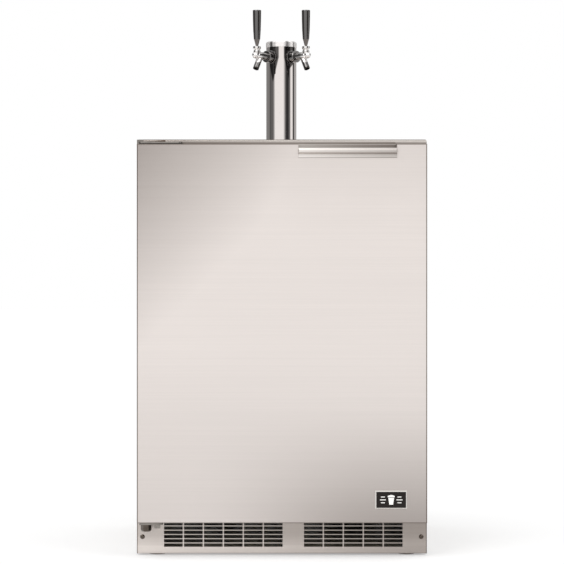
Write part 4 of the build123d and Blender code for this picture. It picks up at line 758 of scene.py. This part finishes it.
def gauge_faces():
    """White dials with black marks and red needles inside both pressure gauges."""
    low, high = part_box("pressure_gauges")
    case_radius, dial_radius, dial_depth = 19 * MM, 16.0 * MM, 0.4 * MM
    glass_seat = low.y + 2.5 * MM
    tail, tip = -4 * MM, 12.5 * MM
    needle = [(-0.9 * MM, tail), (0.9 * MM, tail), (0.25 * MM, tip), (-0.25 * MM, tip)]
    needle_lift = Matrix.Translation((0, -0.5 * MM, 0))
    upper = (high.x - case_radius, high.z - case_radius, 38)
    lower = (low.x + case_radius, low.z + case_radius, -62)
    dials, marks, needles = [], [], []
    for x, z, reading in (upper, lower):
        dials.append((prism(disc(dial_radius), dial_depth), Matrix.Translation((x, glass_seat, z))))
        ahead = Matrix.Translation((x, glass_seat - dial_depth, z))
        marks.extend((mesh, ahead @ turn) for mesh, turn in scale_marks())
        marks.append((prism(disc(2.0 * MM, steps=24), depth=1.1 * MM, bevel=0.2 * MM), ahead))
        needles.append((prism(needle, 0.3 * MM), ahead @ needle_lift @ turned(reading)))
    white = plastic("dial_white", (0.88, 0.88, 0.86), 0.4, grain=0.0)
    black = plastic("dial_black", (0.01, 0.01, 0.01), 0.45, grain=0.0)
    red = plastic("needle_red", (0.55, 0.03, 0.02), 0.35, grain=0.0)
    piece("gauge_dials", join(dials), white, "cabinet")
    piece("gauge_marks", join(marks), black, "cabinet")
    piece("gauge_needles", join(needles), red, "cabinet")


def thermostat_scale():
    """Marks on the evaporator cover round the thermostat's knob, wider towards the cold end."""
    low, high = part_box("temperature_knob")
    middle = (low + high) / 2
    radius = (high.x - low.x) / 2
    cover_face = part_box("evaporator_cover")[0].y
    marks = []
    steps, spread = 7, 120
    for index in range(steps):
        angle = -spread + 2 * spread * index / (steps - 1)
        half_width = (0.35 + 0.12 * index) * MM
        mark = bar(half_width, radius + 2 * MM, radius + 6 * MM)
        marks.append((prism(mark, 0.25 * MM), turned(angle)))
    mesh = join(marks)
    mesh.transform(Matrix.Translation((middle.x, cover_face, middle.z)))
    ink = plastic("scale_ink", (0.03, 0.05, 0.09), 0.5, grain=0.0)
    piece("thermostat_scale", mesh, ink, "cabinet")


def room_lamp():
    """A frosted lamp cover on the right wall of the keg space, in a slim white frame."""
    low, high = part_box("inner_liner")
    wall = high.x - 1.0 * MM
    facing_left = Matrix.Rotation(math.radians(-90), 4, "Z")
    place = Matrix.Translation((wall, -60 * MM, high.z - 90 * MM)) @ facing_left
    frame_outline = rounded_bar(length=96 * MM, height=34 * MM, corner=7 * MM)
    frame_mesh = prism(frame_outline, depth=3.0 * MM, bevel=0.8 * MM)
    frame_mesh.transform(place)
    lens_outline = rounded_bar(length=84 * MM, height=24 * MM, corner=5 * MM)
    lens_mesh = prism(lens_outline, depth=8.0 * MM, bevel=2.5 * MM)
    lens_mesh.transform(place)
    white = plastic("lamp_frame_white", (0.80, 0.80, 0.79), 0.35)
    frosted = Shader("frosted_lens")
    wave = frosted.new("TexWave")
    wave.bands_direction = "Y"
    frosted.plug(wave.inputs["Scale"], 60.0)
    frosted.plug(wave.inputs["Vector"], frosted.place)
    ribs = wave.outputs["Fac"]
    frosted.set("Base Color", frosted.mix(ribs, (0.86, 0.88, 0.88), (0.95, 0.96, 0.96)))
    frosted.set("Roughness", 0.28)
    frosted.set("Subsurface Weight", 0.3)
    frosted.set("Subsurface Scale", 0.01)
    frosted.bump(ribs, distance=0.3 * MM, strength=0.7)
    piece("lamp_frame", frame_mesh, white, "cabinet")
    piece("lamp_lens", lens_mesh, frosted.material, "cabinet")


badge_emblem()
gauge_faces()
thermostat_scale()
room_lamp()

# ------------------------------------------------------------------ studio

# Brightness of the room round the object: direction in degrees from the front, and level.
STUDIO_BANDS = [
    (-180, 0.26), (-125, 0.24), (-104, 0.22), (-96, 0.10), (-70, 0.16), (-58, 0.36), (-48, 1.0),
    (14, 1.0), (26, 0.42), (33, 0.09), (44, 0.02), (58, 0.07), (68, 0.20), (78, 0.95), (94, 0.95),
    (100, 0.05), (112, 0.08), (122, 0.48), (180, 0.40),
]
CEILING = (1.15, 1.15, 1.15)


def studio_world():
    """A white room with soft grey and dark bands round it, seen only in reflections."""
    world = bpy.data.worlds.new("studio")
    bpy.context.scene.world = world
    world.use_nodes = True
    nodes = Nodes(world.node_tree)
    direction = nodes.new("TexCoord").outputs["Generated"]
    bands = nodes.new("ValToRGB")
    bands.color_ramp.interpolation = "EASE"
    nodes.plug(bands.inputs[0], nodes.ramp(nodes.turn(direction), -math.pi, math.pi, smooth=False))
    stops = bands.color_ramp.elements
    for index, (degrees, level) in enumerate(STUDIO_BANDS):
        spot = (degrees + 180) / 360
        # The ramp comes with two stops.
        stop = stops[index] if index < 2 else stops.new(spot)
        stop.position = spot
        stop.color = (level, level * 0.985, level * 0.97, 1)
    overhead = nodes.ramp(nodes.split(direction)["Z"], 0.45, 0.75)
    room = nodes.new("Background")
    nodes.plug(room.inputs["Color"], nodes.mix(overhead, bands.outputs[0], CEILING))
    backdrop = nodes.new("Background")
    nodes.plug(backdrop.inputs["Color"], (1, 1, 1))
    choose = nodes.new("MixShader")
    nodes.plug(choose.inputs[0], nodes.new("LightPath").outputs["Is Camera Ray"])
    nodes.plug(choose.inputs[1], room.outputs[0])
    nodes.plug(choose.inputs[2], backdrop.outputs[0])
    nodes.plug(nodes.new("OutputWorld").inputs["Surface"], choose.outputs[0])


def studio_floor():
    """A wide pale floor, which takes soft shadows near the object and fades to pure white."""
    work = bmesh.new()
    bmesh.ops.create_grid(work, x_segments=4, y_segments=4, size=40.0)
    mesh = bpy.data.meshes.new("floor")
    work.to_mesh(mesh)
    work.free()
    floor = bpy.data.objects.new("floor", mesh)
    bpy.context.scene.collection.objects.link(floor)
    shader = Shader("pale_floor")
    shader.set("Roughness", 0.9)
    shader.set("Specular IOR Level", 0.1)
    distance = shader.new("VectorMath")
    distance.operation = "LENGTH"
    shader.plug(distance.inputs[0], shader.place)
    # The floor glows: a little near the object, as painted light that lightens the shadows there, and fully
    # far away, where it fades to white.
    far = shader.ramp(distance.outputs["Value"], 340 * MM, 900 * MM, 0.34, 1.0)
    shader.set("Base Color", shader.mix(far, (0.97, 0.97, 0.97), (0.0, 0.0, 0.0)))
    shader.set("Emission Color", (1.0, 1.0, 1.0))
    shader.set("Emission Strength", far)
    mesh.materials.append(shader.material)


LIT_POINT = Vector((0, 0, 0.5))


def soft_light(name, place, size, power):
    """A square soft light that faces the object."""
    light = bpy.data.lights.new(name, "AREA")
    light.size = size
    light.energy = power
    lamp = bpy.data.objects.new(name, light)
    lamp.location = place
    lamp.rotation_euler = (LIT_POINT - Vector(place)).to_track_quat("-Z", "Y").to_euler()
    bpy.context.scene.collection.objects.link(lamp)


def camera():
    """The viewpoint: eye height above the door's middle, square to the front."""
    distance = 4.5
    eye_height = 0.5715
    eye_side = -0.022
    # The width that the picture takes in at the door's face.
    field = 1.1653
    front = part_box("door_skin")[0].y
    view = bpy.data.cameras.new("camera")
    view.sensor_width = 36.0
    view.lens = view.sensor_width * distance / field
    view.clip_end = 200.0
    eye = bpy.data.objects.new("camera", view)
    view.shift_x = -eye_side / field
    eye.location = (eye_side, front - distance, eye_height)
    eye.rotation_euler = (math.radians(90), 0, 0)
    bpy.context.scene.collection.objects.link(eye)
    bpy.context.scene.camera = eye


studio_world()
studio_floor()
soft_light("key_light", place=(-1.6, -2.6, 3.4), size=2.4, power=60)
soft_light("fill_light", place=(2.2, -2.4, 2.6), size=2.0, power=30)
camera()
bpy.context.scene.view_settings.view_transform = "Standard"
